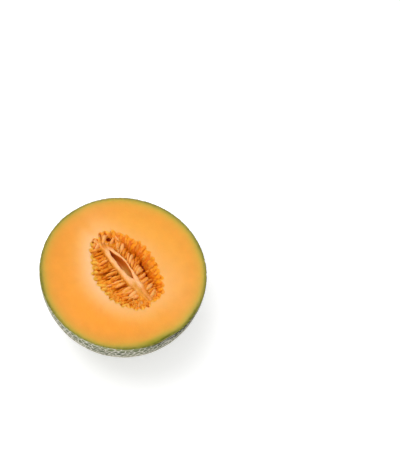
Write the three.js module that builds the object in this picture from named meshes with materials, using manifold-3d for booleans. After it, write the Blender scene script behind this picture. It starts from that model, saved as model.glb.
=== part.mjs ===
// Half of a netted melon, cut through the middle from stalk end to blossom end and lying cut face up.
// Millimetres, +Z up. The stalk end points along +Y, and the origin is under the middle, on the resting spot.
import * as THREE from "three";
import { ConvexHull } from "three/addons/math/ConvexHull.js";
import { mergeVertices } from "three/addons/utils/BufferGeometryUtils.js";
import Module from "manifold-3d";

const wasm = await Module();
wasm.setup();

// The whole fruit's half-sizes, and how far the cut face stands above the table.
const melon = { halfWidth: 75, halfLength: 76.3, halfDepth: 78, cutHeight: 77 };

// The outline's unevenness round the rim: a slow wave of two humps and one of three.
const uneven = { two: 0.0035, twoTurned: -2.2, three: 0.003, threeTurned: 0.9 };

// The corky net: cells over the whole fruit, their depth below the net, and the bare resting spot.
const net = {
  cells: 1840,
  depth: 1.0,
  least: 0.7,
  most: 1.2,
  scatter: 0.3,
  bareRadius: 13,
  fadeRadius: 22,
};

// A shallow dish at each end of the fruit, where the stalk and the flower were.
const endDish = { depth: 0.9, halfAngle: 0.12 };

// The seed cavity, an oval bowl. Its left wall is steep, its right wall slopes.
const cavity = {
  centreX: 2.4,
  centreY: 0.9,
  halfWidth: 27.6,
  halfLength: 41.5,
  depth: 27,
  wallLevels: [0.1, 0.26, 0.48, 0.74],
  steepFrom: -0.35,
  slopedFrom: 0.65,
  slopedShare: 0.8,
  slopeCurve: 1.1,
};

// Where the oval is flatter than an ellipse, or fuller if the depth is negative.
const dents = [
  { angle: 2.3, spread: 0.45, depth: 3 },
  { angle: 0.95, spread: 0.3, depth: 1.2 },
  { angle: -1.08, spread: 0.24, depth: -2.1 },
  { angle: -1.6, spread: 0.2, depth: 0.8 },
  { angle: -1.47, spread: 0.08, depth: 2.4 },
  { angle: 1.54, spread: 0.1, depth: -1.6 },
  { angle: 1.67, spread: 0.07, depth: 2.6 },
  { angle: 1.79, spread: 0.1, depth: -1.6 },
];

// The teeth of the cavity's edge, of uneven size, wider apart on the right and closer at the ends.
const teeth = {
  count: 35,
  sideways: 0.06,
  endways: 0.1,
  repeats: 12,
  depth: 2.5,
  size: 0.75,
  sizeSwing: 0.45,
  swingRates: [2.4, 1.1],
  curve: 1.3,
  pointsInWall: 4,
  pointsInPulp: 2,
};

// The pale band of tissue that carries the seeds, widest beside the slit. It fades out before the stalk end.
const band = {
  topX: 1.4,
  topY: 31.5,
  lean: 0.062,
  leftWidth: 5.2,
  rightWidth: 4.7,
  flank: 2.2,
  height: -0.5,
  leastShare: 0.45,
  widestY: 7,
  wideReach: 18,
  fadeFrom: 26,
  fadeTo: 37,
};

// The open slit in the middle of the band, a lens bowed to the right and narrower towards its floor.
const slit = {
  topY: 25.3,
  bottomY: -9.8,
  topX: 0.6,
  bottomX: 4.6,
  halfWidth: 3.2,
  bow: 1.5,
  depth: 13,
  steps: 12,
  curve: 1.15,
  shorter: 0.25,
  levels: [
    { height: -2, width: 1 },
    { height: -7.9, width: 0.8 },
    { height: -13, width: 0.4 },
  ],
};

// The pulp between band and wall: level on the left, falling away to a groove on the right.
const pulp = {
  gap: 0.35,
  toothShare: 0.75,
  top: 0.6,
  leftLevel: -2.7,
  rightLevel: -4.4,
  grooveLevel: -10.5,
  grooveFrom: 16,
  step: 3.1,
  base: -31,
};

// A seed with the film of pulp that it sits in: stations along it, and how full it is there.
const seed = {
  length: 11.4,
  width: 4.8,
  thickness: 2.6,
  sides: 6,
  stations: [
    { along: 0.36, full: 0.72 },
    { along: 0.1, full: 1 },
    { along: -0.22, full: 0.9 },
  ],
};

// Left lobe: rows of seeds on their edges, an inner and an outer one, rising outwards.
const leftRows = {
  at: [31.8, 28, 24.2, 20.6, 18, 14.2, 10.2, 4.5, -1.1, -4.6, -8.3, -13.4, -16, -19, -22.7, -25.7, -28.6],
  x: -8.8,
  outwards: 9.4,
  slope: 0.13,
  height: -2.5,
  loosePlace: 0.4,
  looseRoll: 0.25,
};

// Right lobe: seeds down the slope beside the band, slanting above and level below, and lower ones outside.
const rightRows = {
  at: [26.5, 22.4, 18.4, 14.6, 11.4, 8.4, 4.4, 0.6, -2.3, -5.6, -11, -15.2, -18.8, -23.6, -27.2, -31.2],
  x: 12.4,
  height: -4,
  level: 0.14,
  slant: 0.78,
  slantFrom: -9,
  slantTo: 5,
  fall: 0.25,
  roll: 1.15,
  outwards: 4.8,
  upwards: 2,
  outerHeight: -7.6,
  outerScale: 0.85,
  looseRoll: 0.25,
};

// Seeds at both ends of the cavity: place, heading and roll.
const endPlaces = [
  { x: -4.4, y: 38.8, heading: 1.9, roll: 0.5 },
  { x: -7.6, y: 36.2, heading: 0.6, roll: 0.9 },
  { x: -1.9, y: 36, heading: 1.3, roll: 0.7 },
  { x: 4.4, y: 38.6, heading: 1.2, roll: 0.5 },
  { x: 13.4, y: 32.2, heading: 0.7, roll: 0.8 },
  { x: -12.4, y: -31.4, heading: 0.7, roll: 1.1 },
  { x: -7, y: -33.6, heading: 0.9, roll: 0.9 },
  { x: -1.6, y: -34.4, heading: 1.2, roll: 1.1 },
  { x: 11.6, y: -34.2, heading: 0.6, roll: 0.6 },
];
const endHeight = -2.4;

const scaleRange = { least: 0.9, most: 1.05 };

const fleshFinish = { color: new THREE.Color(0.98, 0.6, 0.22), roughness: 0.45, metalness: 0 };
const pulpFinish = { color: new THREE.Color(0.86, 0.48, 0.16), roughness: 0.35, metalness: 0 };

const above = 4; // how far cutting solids reach past a face
const shortestEdge = 0.03;
const samePoint = 1e-5; // points nearer than this are one
const randomStarts = { cells: 7, depths: 11, seeds: 23 };

// Repeatable random numbers from 0 to 1.
function randomSource(start) {
  let state = start;
  return () => {
    state = (state + 0x6d2b79f5) | 0;
    let t = Math.imul(state ^ (state >>> 15), 1 | state);
    t = (t + Math.imul(t ^ (t >>> 7), 61 | t)) ^ t;
    return ((t ^ (t >>> 14)) >>> 0) / 4294967296;
  };
}

const smooth = (low, high, x) => THREE.MathUtils.smoothstep(x, low, high);
const mix = (a, b, share) => a + (b - a) * share;
const hump = (x, spread) => Math.exp(-((x / spread) ** 2));

// A closed three.js geometry as a solid that can be joined and cut.
function solidFrom(geometry) {
  const bare = geometry.index ? geometry.toNonIndexed() : geometry.clone();
  bare.deleteAttribute("normal");
  bare.deleteAttribute("uv");
  const merged = mergeVertices(bare, samePoint);
  return new wasm.Manifold(
    new wasm.Mesh({
      numProp: 3,
      vertProperties: new Float32Array(merged.attributes.position.array),
      triVerts: new Uint32Array(merged.index.array),
    }),
  );
}

function geometryFromLists(points, triangles) {
  const geometry = new THREE.BufferGeometry();
  geometry.setAttribute("position", new THREE.Float32BufferAttribute(points.flat(), 3));
  geometry.setIndex(triangles.flat());
  return geometry;
}

function geometryOf(solid) {
  const mesh = solid.getMesh();
  const geometry = new THREE.BufferGeometry();
  geometry.setAttribute("position", new THREE.Float32BufferAttribute(mesh.vertProperties, 3));
  geometry.setIndex(new THREE.Uint32BufferAttribute(mesh.triVerts, 1));
  const flat = geometry.toNonIndexed();
  flat.computeVertexNormals();
  return flat;
}

function blockBetween(low, high) {
  const size = new THREE.Vector3().subVectors(high, low);
  const centre = new THREE.Vector3().addVectors(low, high).multiplyScalar(0.5);
  return solidFrom(new THREE.BoxGeometry(size.x, size.y, size.z).translate(centre.x, centre.y, centre.z));
}

// The largest piece of what joins and cuts leave, without loose scraps or edges shorter than a hair.
function mainPieceOf(solid) {
  const bodies = solid.simplify(shortestEdge).decompose();
  return bodies.reduce((best, body) => (body.volume() > best.volume() ? body : best));
}

// Joins two rings of points, each as long as the other, with triangles that face outwards when the
// first ring is the upper one and both run anticlockwise.
function joinRings(triangles, upper, lower, count) {
  for (let i = 0; i < count; i++) {
    const j = (i + 1) % count;
    triangles.push([upper + i, lower + i, lower + j], [upper + i, lower + j, upper + j]);
  }
}

// A closed geometry from rings of one length, the first being the upper one, and a point at both ends.
function geometryFromRings(rings, first, last) {
  const count = rings[0].length;
  const points = [...rings.flat(), first, last];
  const triangles = [];
  for (let ring = 0; ring + 1 < rings.length; ring++) {
    joinRings(triangles, ring * count, (ring + 1) * count, count);
  }
  const lowest = (rings.length - 1) * count;
  const [firstAt, lastAt] = [lowest + count, lowest + count + 1];
  for (let i = 0; i < count; i++) {
    const j = (i + 1) % count;
    triangles.push([firstAt, i, j], [lastAt, lowest + j, lowest + i]);
  }
  return geometryFromLists(points, triangles);
}

// The skin in a direction from the cut face's middle: an ellipsoid, a little uneven, dished at both ends.
function skinPoint(direction, sunk) {
  const { x, y, z } = direction;
  const even = 1 / Math.hypot(x / melon.halfWidth, y / melon.halfLength, z / melon.halfDepth);
  const round = Math.atan2(y, x);
  const level = Math.hypot(x, y);
  const twoHumps = uneven.two * Math.cos(2 * round + uneven.twoTurned);
  const threeHumps = uneven.three * Math.cos(3 * round + uneven.threeTurned);
  const dish = endDish.depth * hump(Math.acos(Math.min(1, Math.abs(y))), endDish.halfAngle);
  const radius = even * (1 + level * level * (twoHumps + threeHumps)) - dish;
  const bare = z < 0 ? smooth(net.bareRadius, net.fadeRadius, level * radius) : 1;
  return direction.clone().multiplyScalar(radius - sunk * bare);
}

// Directions spread evenly over a ball, each one then moved a little at random.
function scatteredDirections(count, scatter) {
  const random = randomSource(randomStarts.cells);
  const golden = Math.PI * (3 - Math.sqrt(5));
  const spacing = Math.sqrt((4 * Math.PI) / count);
  const directions = [];
  for (let i = 0; i < count; i++) {
    const z = 1 - (2 * i + 1) / count;
    const ring = Math.sqrt(1 - z * z);
    const shift = () => (random() - 0.5) * 2 * scatter * spacing;
    const point = new THREE.Vector3(ring * Math.cos(golden * i), ring * Math.sin(golden * i), z);
    directions.push(point.add(new THREE.Vector3(shift(), shift(), shift())).normalize());
  }
  return directions;
}

// The netted rind of the whole fruit: every cell is a shallow hollow inside a raised outline of net.
// The net runs where two cells' middles are equally far, so its corners are the normals of the triangles
// that the cells' middles make.
function nettedBody() {
  const middles = scatteredDirections(net.cells, net.scatter);
  const hull = new ConvexHull().setFromPoints(middles);
  const cellOf = new Map(middles.map((point, i) => [point, i]));
  const corners = new Map();
  const random = randomSource(randomStarts.depths);
  const points = middles.map((m) => skinPoint(m, net.depth * mix(net.least, net.most, random())));
  for (const face of hull.faces) {
    corners.set(face, points.length);
    points.push(skinPoint(face.normal.clone().normalize(), 0));
  }
  const triangles = [];
  for (const face of hull.faces) {
    for (const edge of [face.edge, face.edge.next, face.edge.prev]) {
      triangles.push([cellOf.get(edge.tail().point), corners.get(edge.twin.face), corners.get(face)]);
    }
  }
  const placed = points.map((p) => [p.x, p.y, p.z + melon.cutHeight]);
  return solidFrom(geometryFromLists(placed, triangles));
}

// How much an angle differs from that of evenly spaced teeth.
function teethShift(angle) {
  return teeth.sideways * Math.sin(angle) + teeth.endways * Math.sin(2 * angle);
}

// The angle that a number of teeth reaches to, counted round from the right.
function angleOfTooth(number) {
  const even = (2 * Math.PI * number) / teeth.count;
  let angle = even;
  for (let step = 0; step < teeth.repeats; step++) {
    angle = even + teethShift(angle);
  }
  return angle;
}

// How far the cavity's edge stands out at an angle, from 0 between teeth to about 1 at a tooth's tip.
function toothAt(angle) {
  const even = angle - teethShift(angle);
  const turn = ((even / (2 * Math.PI) + 1) * teeth.count) % teeth.count;
  const number = Math.floor(turn);
  const [sineRate, cosineRate] = teeth.swingRates;
  const size = teeth.size + teeth.sizeSwing * Math.sin(number * sineRate) * Math.cos(number * cosineRate);
  return size * Math.sin(Math.PI * (turn - number)) ** teeth.curve;
}

// A point of the cavity's wall, at a share of its depth, moved in by a gap.
// The wall runs in as a quarter ellipse on the left and as a slope on the right.
function wallPoint(angle, share, gap, toothShare) {
  const [across, along] = [Math.cos(angle), Math.sin(angle)];
  const ellipse = 1 / Math.hypot(across / cavity.halfWidth, along / cavity.halfLength);
  const fromDent = (dent) => Math.atan2(Math.sin(angle - dent.angle), Math.cos(angle - dent.angle));
  const dented = dents.reduce((sum, dent) => sum + dent.depth * hump(fromDent(dent), dent.spread), 0);
  const right = smooth(cavity.steepFrom, cavity.slopedFrom, across) * cavity.slopedShare;
  const steep = Math.sqrt(Math.max(0, 1 - share * share));
  const sloped = Math.max(0, 1 - share) ** cavity.slopeCurve;
  const tooth = teeth.depth * toothAt(angle) * toothShare * (1 - share);
  const radius = Math.max(0, (ellipse - dented) * mix(steep, sloped, right) + tooth - gap);
  return [
    cavity.centreX + radius * across,
    cavity.centreY + radius * along,
    melon.cutHeight - cavity.depth * share,
  ];
}

// The solid that fills the cavity, from above the cut face down, moved in by a gap all round.
function cavityFilling(gap, toothShare, pointsPerTooth, top) {
  const count = teeth.count * pointsPerTooth;
  const ring = (share, height) =>
    Array.from({ length: count }, (unused, i) => {
      const [x, y, z] = wallPoint(angleOfTooth(i / pointsPerTooth), share, gap, toothShare);
      return [x, y, height ?? z + gap * share];
    });
  const lid = melon.cutHeight + top;
  const floor = melon.cutHeight - cavity.depth + gap;
  const rings = [ring(0, lid), ring(0), ...cavity.wallLevels.map((share) => ring(share))];
  const { centreX, centreY } = cavity;
  return solidFrom(geometryFromRings(rings, [centreX, centreY, lid], [centreX, centreY, floor]));
}

const bandCentre = (y) => band.topX + band.lean * (band.topY - y);

// The band is widest beside the slit and narrows to both ends.
const bandShare = (y) => mix(band.leastShare, 1, hump(y - band.widestY, band.wideReach));

// The space of the slit: one edge up its right side and down its left, the same at each level but narrower.
function slitFilling() {
  const ring = (height, width) =>
    Array.from({ length: 2 * slit.steps }, (unused, i) => {
      const goingUp = i < slit.steps;
      const t = goingUp ? i / slit.steps : 2 - i / slit.steps;
      const open = Math.sin(Math.PI * t) ** slit.curve;
      const side = goingUp ? 1 : -1;
      const x = mix(slit.bottomX, slit.topX, t) + open * (slit.bow + side * slit.halfWidth * width);
      const y = mix(slit.bottomY, slit.topY, mix(t, 0.5, (1 - width) * slit.shorter));
      return [x, y, melon.cutHeight + height];
    });
  const middle = [mix(slit.bottomX, slit.topX, 0.5) + slit.bow, mix(slit.bottomY, slit.topY, 0.5)];
  const rings = [ring(above, 1), ...slit.levels.map((level) => ring(level.height, level.width))];
  const [lid, floor] = [melon.cutHeight + above, melon.cutHeight - slit.depth];
  return solidFrom(geometryFromRings(rings, [...middle, lid], [...middle, floor]));
}

// Height of the pulp's surface over the plane of the cut.
function pulpHeight(x, y) {
  const across = x - bandCentre(y);
  const [leftEdge, rightEdge] = [band.leftWidth * bandShare(y), band.rightWidth * bandShare(y)];
  const left = smooth(-leftEdge - band.flank, -leftEdge, across);
  const right = 1 - smooth(rightEdge, rightEdge + band.flank, across);
  const fall = mix(pulp.rightLevel, pulp.grooveLevel, smooth(band.rightWidth, pulp.grooveFrom, across));
  const lobe = across < 0 ? pulp.leftLevel : fall;
  const inBand = Math.min(left, right) * (1 - smooth(band.fadeFrom, band.fadeTo, y));
  return mix(lobe, band.height, inBand);
}

// The bare pulp: a sheet of heights made solid down to below the cavity.
function pulpBlock() {
  const margin = teeth.depth + pulp.step;
  const spread = (centre, half) => {
    const count = Math.ceil((2 * (half + margin)) / pulp.step);
    return Array.from({ length: count + 1 }, (unused, i) => centre + (half + margin) * ((2 * i) / count - 1));
  };
  const columns = spread(cavity.centreX, cavity.halfWidth);
  const rows = spread(cavity.centreY, cavity.halfLength);
  const points = [];
  for (const y of rows) {
    for (const x of columns) points.push([x, y, melon.cutHeight + pulpHeight(x, y)]);
  }
  const under = points.length;
  for (const y of rows) {
    for (const x of columns) points.push([x, y, melon.cutHeight + pulp.base]);
  }
  const at = (row, column) => row * columns.length + column;
  const triangles = [];
  for (let row = 0; row + 1 < rows.length; row++) {
    for (let column = 0; column + 1 < columns.length; column++) {
      const [a, b] = [at(row, column), at(row, column + 1)];
      const [c, d] = [at(row + 1, column + 1), at(row + 1, column)];
      triangles.push([a, b, c], [a, c, d]);
      triangles.push([under + a, under + c, under + b], [under + a, under + d, under + c]);
    }
  }
  const side = (a, b) => triangles.push([a, under + a, under + b], [a, under + b, b]);
  for (let column = 0; column + 1 < columns.length; column++) {
    side(at(0, column), at(0, column + 1));
    side(at(rows.length - 1, column + 1), at(rows.length - 1, column));
  }
  for (let row = 0; row + 1 < rows.length; row++) {
    side(at(row + 1, 0), at(row, 0));
    side(at(row, columns.length - 1), at(row + 1, columns.length - 1));
  }
  return solidFrom(geometryFromLists(points, triangles));
}

// One seed along +X: a flat drop with a blunt outer end and a pointed inner end.
function seedGeometry(scale) {
  const half = (seed.length * scale) / 2;
  const rings = seed.stations.map(({ along, full }) =>
    Array.from({ length: seed.sides }, (unused, i) => {
      const turn = (2 * Math.PI * i) / seed.sides;
      const wide = (full * seed.width * scale * Math.cos(turn)) / 2;
      const high = (full * seed.thickness * scale * Math.sin(turn)) / 2;
      return [along * seed.length * scale, wide, high];
    }),
  );
  return geometryFromRings(rings, [half, 0, 0], [-half, 0, 0]);
}

// A seed laid at a place. Heading is its outward direction seen from above, pitch its fall outwards,
// and roll turns it about its length: a quarter turn stands it on its edge.
function placedSeed({ x, y, height, heading, pitch = 0, roll, scale = 1 }) {
  const turn = new THREE.Matrix4().makeRotationFromEuler(new THREE.Euler(roll, pitch, heading, "ZYX"));
  const place = turn.setPosition(x, y, melon.cutHeight + height);
  return solidFrom(seedGeometry(scale).applyMatrix4(place));
}

function leftSeeds(random) {
  const either = () => 2 * random() - 1;
  const heading = Math.PI - leftRows.slope;
  return leftRows.at.flatMap((y) =>
    [0, leftRows.outwards].map((out) =>
      placedSeed({
        x: leftRows.x - out,
        y: y + out * Math.tan(leftRows.slope) + either() * leftRows.loosePlace,
        height: leftRows.height,
        heading,
        roll: Math.PI / 2 + either() * leftRows.looseRoll,
        scale: mix(scaleRange.least, scaleRange.most, random()),
      }),
    ),
  );
}

function rightSeeds(random) {
  const either = () => 2 * random() - 1;
  return rightRows.at.flatMap((y) => {
    const heading = mix(rightRows.level, rightRows.slant, smooth(rightRows.slantFrom, rightRows.slantTo, y));
    const pitch = rightRows.fall * Math.cos(heading);
    const inner = placedSeed({
      x: rightRows.x,
      y,
      height: rightRows.height,
      heading,
      pitch,
      roll: rightRows.roll + either() * rightRows.looseRoll,
      scale: mix(scaleRange.least, scaleRange.most, random()),
    });
    const outer = placedSeed({
      x: rightRows.x + rightRows.outwards,
      y: y + rightRows.upwards,
      height: rightRows.outerHeight,
      heading,
      pitch,
      roll: rightRows.roll + either() * rightRows.looseRoll,
      scale: rightRows.outerScale,
    });
    return [inner, outer];
  });
}

const endSeeds = () => endPlaces.map((place) => placedSeed({ ...place, height: endHeight }));

// Flesh and rind: the netted body cut flat at the face and at the resting spot, with the cavity taken out.
function melonHalf() {
  const reach = melon.halfLength + above;
  const kept = blockBetween(
    new THREE.Vector3(-reach, -reach, 0),
    new THREE.Vector3(reach, reach, melon.cutHeight),
  );
  return mainPieceOf(nettedBody().intersect(kept).subtract(cavityFilling(0, 1, teeth.pointsInWall, above)));
}

// Pulp, pale band and seeds: one mass that fills the cavity and keeps clear of its wall.
function seedMass() {
  const random = randomSource(randomStarts.seeds);
  const seeds = [...leftSeeds(random), ...rightSeeds(random), ...endSeeds()];
  const joined = seeds.reduce((mass, one) => mass.add(one), pulpBlock());
  const room = cavityFilling(pulp.gap, pulp.toothShare, teeth.pointsInPulp, pulp.top);
  return mainPieceOf(joined.intersect(room).subtract(slitFilling()));
}

function named(name, solid, finish) {
  const mesh = new THREE.Mesh(geometryOf(solid), new THREE.MeshStandardMaterial(finish));
  mesh.name = name;
  return mesh;
}

const melonPart = new THREE.Group();
melonPart.add(named("flesh_and_rind", melonHalf(), fleshFinish));
melonPart.add(named("seed_mass", seedMass(), pulpFinish));

// The fruit is a little uneven, so its outline is brought over the origin.
const outline = new THREE.Box3().setFromObject(melonPart);
melonPart.position.set(-(outline.min.x + outline.max.x) / 2, -(outline.min.y + outline.max.y) / 2, 0);

export default melonPart;
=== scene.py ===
import math
import bmesh
import bpy
import numpy as np
from mathutils import Matrix, Vector


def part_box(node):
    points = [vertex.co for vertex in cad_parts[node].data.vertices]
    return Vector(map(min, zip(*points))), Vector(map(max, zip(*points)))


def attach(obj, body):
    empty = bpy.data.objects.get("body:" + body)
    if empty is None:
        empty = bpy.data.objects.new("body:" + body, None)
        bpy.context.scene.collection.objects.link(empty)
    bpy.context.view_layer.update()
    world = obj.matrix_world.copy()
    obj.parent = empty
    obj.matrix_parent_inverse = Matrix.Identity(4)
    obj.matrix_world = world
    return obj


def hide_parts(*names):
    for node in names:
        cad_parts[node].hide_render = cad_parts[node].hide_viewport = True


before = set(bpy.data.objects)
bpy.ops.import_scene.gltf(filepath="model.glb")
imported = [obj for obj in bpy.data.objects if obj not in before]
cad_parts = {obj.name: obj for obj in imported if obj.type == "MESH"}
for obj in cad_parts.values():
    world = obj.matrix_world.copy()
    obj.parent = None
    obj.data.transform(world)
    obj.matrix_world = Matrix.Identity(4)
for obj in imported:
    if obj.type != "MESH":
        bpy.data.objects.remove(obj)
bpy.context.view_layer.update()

# Sizes below are millimetres. The stalk end is towards +Y, the cut face looks up.
mm = 0.001
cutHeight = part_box("flesh_and_rind")[1].z / mm
faceCentre = np.array([-0.19, -0.15])  # middle of the fruit in the frame


# helpers

def smoothStep(low, high, x):
    # 3 t^2 - 2 t^3, where t goes from 0 at low to 1 at high.
    t = np.clip((x - low) / (high - low), 0.0, 1.0)
    return t * t * (3.0 - 2.0 * t)


def mix(a, b, share):
    # From a to b in proportion to the share.
    return a + (b - a) * share


def unit(vectors, least=0.0):
    # Each vector over its length. Least keeps one without length from a division by zero.
    return vectors / (np.linalg.norm(vectors, axis=-1, keepdims=True) + least)


def rotated(a, b, angles):
    # Two coordinates after a turn: a cos - b sin, and a sin + b cos.
    cosines, sines = np.cos(angles)[:, None], np.sin(angles)[:, None]
    return a * cosines - b * sines, a * sines + b * cosines


def leftOf(heading):
    # The level direction at a right angle to a heading: -y, x.
    return np.stack([-heading[..., 1], heading[..., 0]], axis=-1)


def byAngle(angles, entries):
    # The sum of bumps at some angles: each entry is a middle, a spread and a height.
    total = np.zeros_like(angles)
    for middle, spread, height in entries:
        turned = (angles - middle + math.pi) % (2 * math.pi) - math.pi
        total = total + height * np.exp(-(turned / spread) ** 2)
    return total


def waves(points, wavelength, seed, count=9):
    # Smooth unevenness from -1 to 1: the mean of plane waves with random headings and phases.
    rng = np.random.default_rng(seed)
    headings = unit(rng.normal(size=(count, points.shape[-1])))
    turns = 2.0 * math.pi / (wavelength * rng.uniform(0.7, 1.4, count))
    phases = rng.uniform(0.0, 2.0 * math.pi, count)
    total = np.zeros(points.shape[:-1])
    for heading, turn, phase in zip(headings, turns, phases):
        total += np.sin(points @ heading * turn + phase)
    return total / math.sqrt(count) * 0.8


def shifts(points, wavelength, seed):
    # Smooth unevenness along x, y and z, from three seeds in a row.
    return np.stack([waves(points, wavelength, seed + axis) for axis in range(3)], axis=-1)


def gridFaces(rows, columns, closed=True, start=0):
    # Quads between neighbouring rows of points, going round when closed.
    acrossCount = columns if closed else columns - 1
    row, column = np.meshgrid(np.arange(rows - 1), np.arange(acrossCount), indexing="ij")
    a = start + row * columns + column
    b = start + row * columns + (column + 1) % columns
    return np.stack([a, b, b + columns, a + columns], axis=-1).reshape(-1, 4)


def fanFaces(ring, centre, turned=False):
    # Triangles from a closed ring of points to one point.
    following = np.roll(ring, -1)
    faces = np.stack([ring, following, np.full(len(ring), centre)], axis=-1)
    return faces[:, ::-1] if turned else faces


def closedFaces(rows, columns):
    # Quads round closed rows of points, and triangles from the first and the last row to the two points
    # that follow the rows.
    first = fanFaces(np.arange(columns), rows * columns, turned=True)
    last = fanFaces(np.arange((rows - 1) * columns, rows * columns), rows * columns + 1)
    return gridFaces(rows, columns), np.concatenate([first, last])


def repeated(faces, count, each):
    # The same faces for each of some things that have a number of points each.
    return (faces + np.arange(count)[:, None, None] * each).reshape(-1, faces.shape[1])


def makePiece(name, node, points, faces, materials, attributes, painted=None):
    # A mesh object in place, from points in mm and lists of faces. It rides on the one body and stands for
    # a node. Painted gives each face's material where there is more than one.
    mesh = bpy.data.meshes.new(name)
    mesh.from_pydata((np.asarray(points) * mm).tolist(), [], [f for part in faces for f in part.tolist()])
    for key, values in attributes.items():
        mesh.attributes.new(key, "FLOAT", "POINT").data.foreach_set("value", np.asarray(values, np.float32))
    mesh.polygons.foreach_set("use_smooth", np.ones(len(mesh.polygons), bool))
    for material in materials:
        mesh.materials.append(material)
    if painted is not None:
        mesh.polygons.foreach_set("material_index", painted.astype(np.int32))
    mesh.update()
    piece = bpy.data.objects.new(name, mesh)
    bpy.context.scene.collection.objects.link(piece)
    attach(piece, "root")
    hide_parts(node)


# materials

def srgb(red, green, blue):
    # Linear shares of a colour that is given from 0 to 255, by the sRGB curve, and a full alpha.
    channels = np.array([red, green, blue]) / 255.0
    linear = np.where(channels <= 0.04045, channels / 12.92, ((channels + 0.055) / 1.055) ** 2.4)
    return (*linear.tolist(), 1.0)


class Paint:
    # A material's nodes, added by short calls. Colours are given as red, green and blue from 0 to 255.
    def __init__(self, name):
        self.material = bpy.data.materials.new(name)
        self.material.use_nodes = True
        self.tree = self.material.node_tree
        self.shader = self.tree.nodes["Principled BSDF"]
        self.place = self.tree.nodes.new("ShaderNodeTexCoord").outputs["Object"]

    def node(self, kind, inputs=None, **settings):
        made = self.tree.nodes.new(kind)
        for key, value in settings.items():
            setattr(made, key, value)
        for key, value in (inputs or {}).items():
            self.feed(made.inputs[key], value)
        return made

    def feed(self, socket, value):
        if isinstance(value, bpy.types.NodeSocket):
            self.tree.links.new(value, socket)
        elif socket.type == "RGBA":
            socket.default_value = srgb(*value)
        else:
            socket.default_value = value

    def attribute(self, name):
        return self.node("ShaderNodeAttribute", attribute_name=name).outputs["Fac"]

    def noise(self, scale, detail=3.0, roughness=0.55, stretch=(1, 1, 1)):
        # Noise whose scale is in spots per metre.
        placed = self.node("ShaderNodeMapping", {"Vector": self.place, "Scale": stretch}).outputs[0]
        inputs = {"Vector": placed, "Scale": scale, "Detail": detail, "Roughness": roughness}
        return self.node("ShaderNodeTexNoise", inputs).outputs["Fac"]

    def ramp(self, value, stops):
        made = self.node("ShaderNodeValToRGB", {"Fac": value})
        elements = made.color_ramp.elements
        while len(elements) < len(stops):
            elements.new(0.5)
        for element, (position, colour) in zip(elements, stops):
            element.position = position
            element.color = srgb(*colour)
        return made.outputs["Color"]

    def wavering(self, value, amount, scale, detail=3.0, roughness=0.55):
        # A value plus noise that goes from minus to plus an amount.
        uneven = self.spread(self.noise(scale, detail, roughness), 0.3, 0.7, -amount, amount)
        return self.math("ADD", value, uneven)

    def blend(self, share, first, second, mode="MIX"):
        made = self.node("ShaderNodeMix", data_type="RGBA", blend_type=mode)
        self.feed(made.inputs[0], share)
        self.feed(made.inputs[6], first)
        self.feed(made.inputs[7], second)
        return made.outputs[2]

    def math(self, operation, first, second=0.0):
        made = self.node("ShaderNodeMath", operation=operation)
        self.feed(made.inputs[0], first)
        self.feed(made.inputs[1], second)
        return made.outputs[0]

    def spread(self, value, low, high, toLow=0.0, toHigh=1.0):
        inputs = {"Value": value, "From Min": low, "From Max": high, "To Min": toLow, "To Max": toHigh}
        return self.node("ShaderNodeMapRange", inputs).outputs["Result"]

    def bump(self, height, distance, strength=1.0, under=None):
        made = self.node("ShaderNodeBump", {"Height": height, "Distance": distance, "Strength": strength})
        if under is not None:
            self.feed(made.inputs["Normal"], under)
        return made.outputs["Normal"]

    def finish(self, colour, roughness, normal=None, **shaderValues):
        self.feed(self.shader.inputs["Base Color"], colour)
        self.feed(self.shader.inputs["Roughness"], roughness)
        if normal is not None:
            self.feed(self.shader.inputs["Normal"], normal)
        for key, value in shaderValues.items():
            self.shader.inputs[key.replace("_", " ")].default_value = value
        return self.material


# Colours are red, green and blue from 0 to 255. A ramp is a list of places, each with its colour.
fleshColours = {
    # from the skin inwards, 24 mm in all
    "ripe": [(0.0, (92, 96, 10)), (0.02, (126, 124, 30)), (0.054, (166, 150, 58)),
             (0.104, (192, 165, 60)), (0.167, (210, 169, 60)), (0.25, (226, 167, 58)),
             (0.375, (235, 164, 57)), (0.54, (241, 163, 56)), (0.8, (244, 166, 57)),
             (1.0, (246, 169, 61))],
    "wall": [(0.25, (212, 98, 4)), (0.5, (230, 120, 10)), (0.75, (242, 142, 30))],
    "shade": (248, 239, 222), "patch": (142, 140, 6), "deeper": (249, 157, 41), "halo": (251, 191, 132),
    "cork": (170, 162, 112),
}


def fleshMaterial():
    # Moist orange flesh: green under the skin, paler beside the seed hollow, deeper in the hollow's wall.
    paint = Paint("melonFlesh")
    wavering = paint.wavering(paint.attribute("ripe"), 0.012, 260)
    colour = paint.ramp(wavering, fleshColours["ripe"])
    # painted shade over the left of the cut face, out to the rind
    colour = paint.blend(paint.attribute("shade"), colour, fleshColours["shade"], "MULTIPLY")
    for key in ("patch", "deeper", "halo"):
        colour = paint.blend(paint.attribute(key), colour, fleshColours[key])
    streaks = paint.ramp(paint.noise(420, 4.0, 0.6), fleshColours["wall"])
    colour = paint.blend(paint.attribute("wall"), colour, streaks)
    mottle = paint.spread(paint.noise(90, 5.0), 0.3, 0.7, 0.965, 1.03)
    colour = paint.blend(1.0, colour, paint.node("ShaderNodeCombineColor", {
        "Red": mottle, "Green": mottle, "Blue": mottle}).outputs[0], "MULTIPLY")
    colour = paint.blend(paint.attribute("cork"), colour, fleshColours["cork"])
    grain = paint.bump(paint.noise(900, 4.0, 0.65), 0.00012, 0.55)
    cells = paint.bump(paint.noise(240, 3.0), 0.00035, 0.35, grain)
    roughness = paint.spread(paint.noise(330, 3.0), 0.3, 0.7, 0.34, 0.52)
    return paint.finish(colour, roughness, cells, Subsurface_Weight=0.35, Subsurface_Scale=0.004,
                        Subsurface_Radius=(1.0, 0.45, 0.15), Specular_IOR_Level=0.22)


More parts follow.
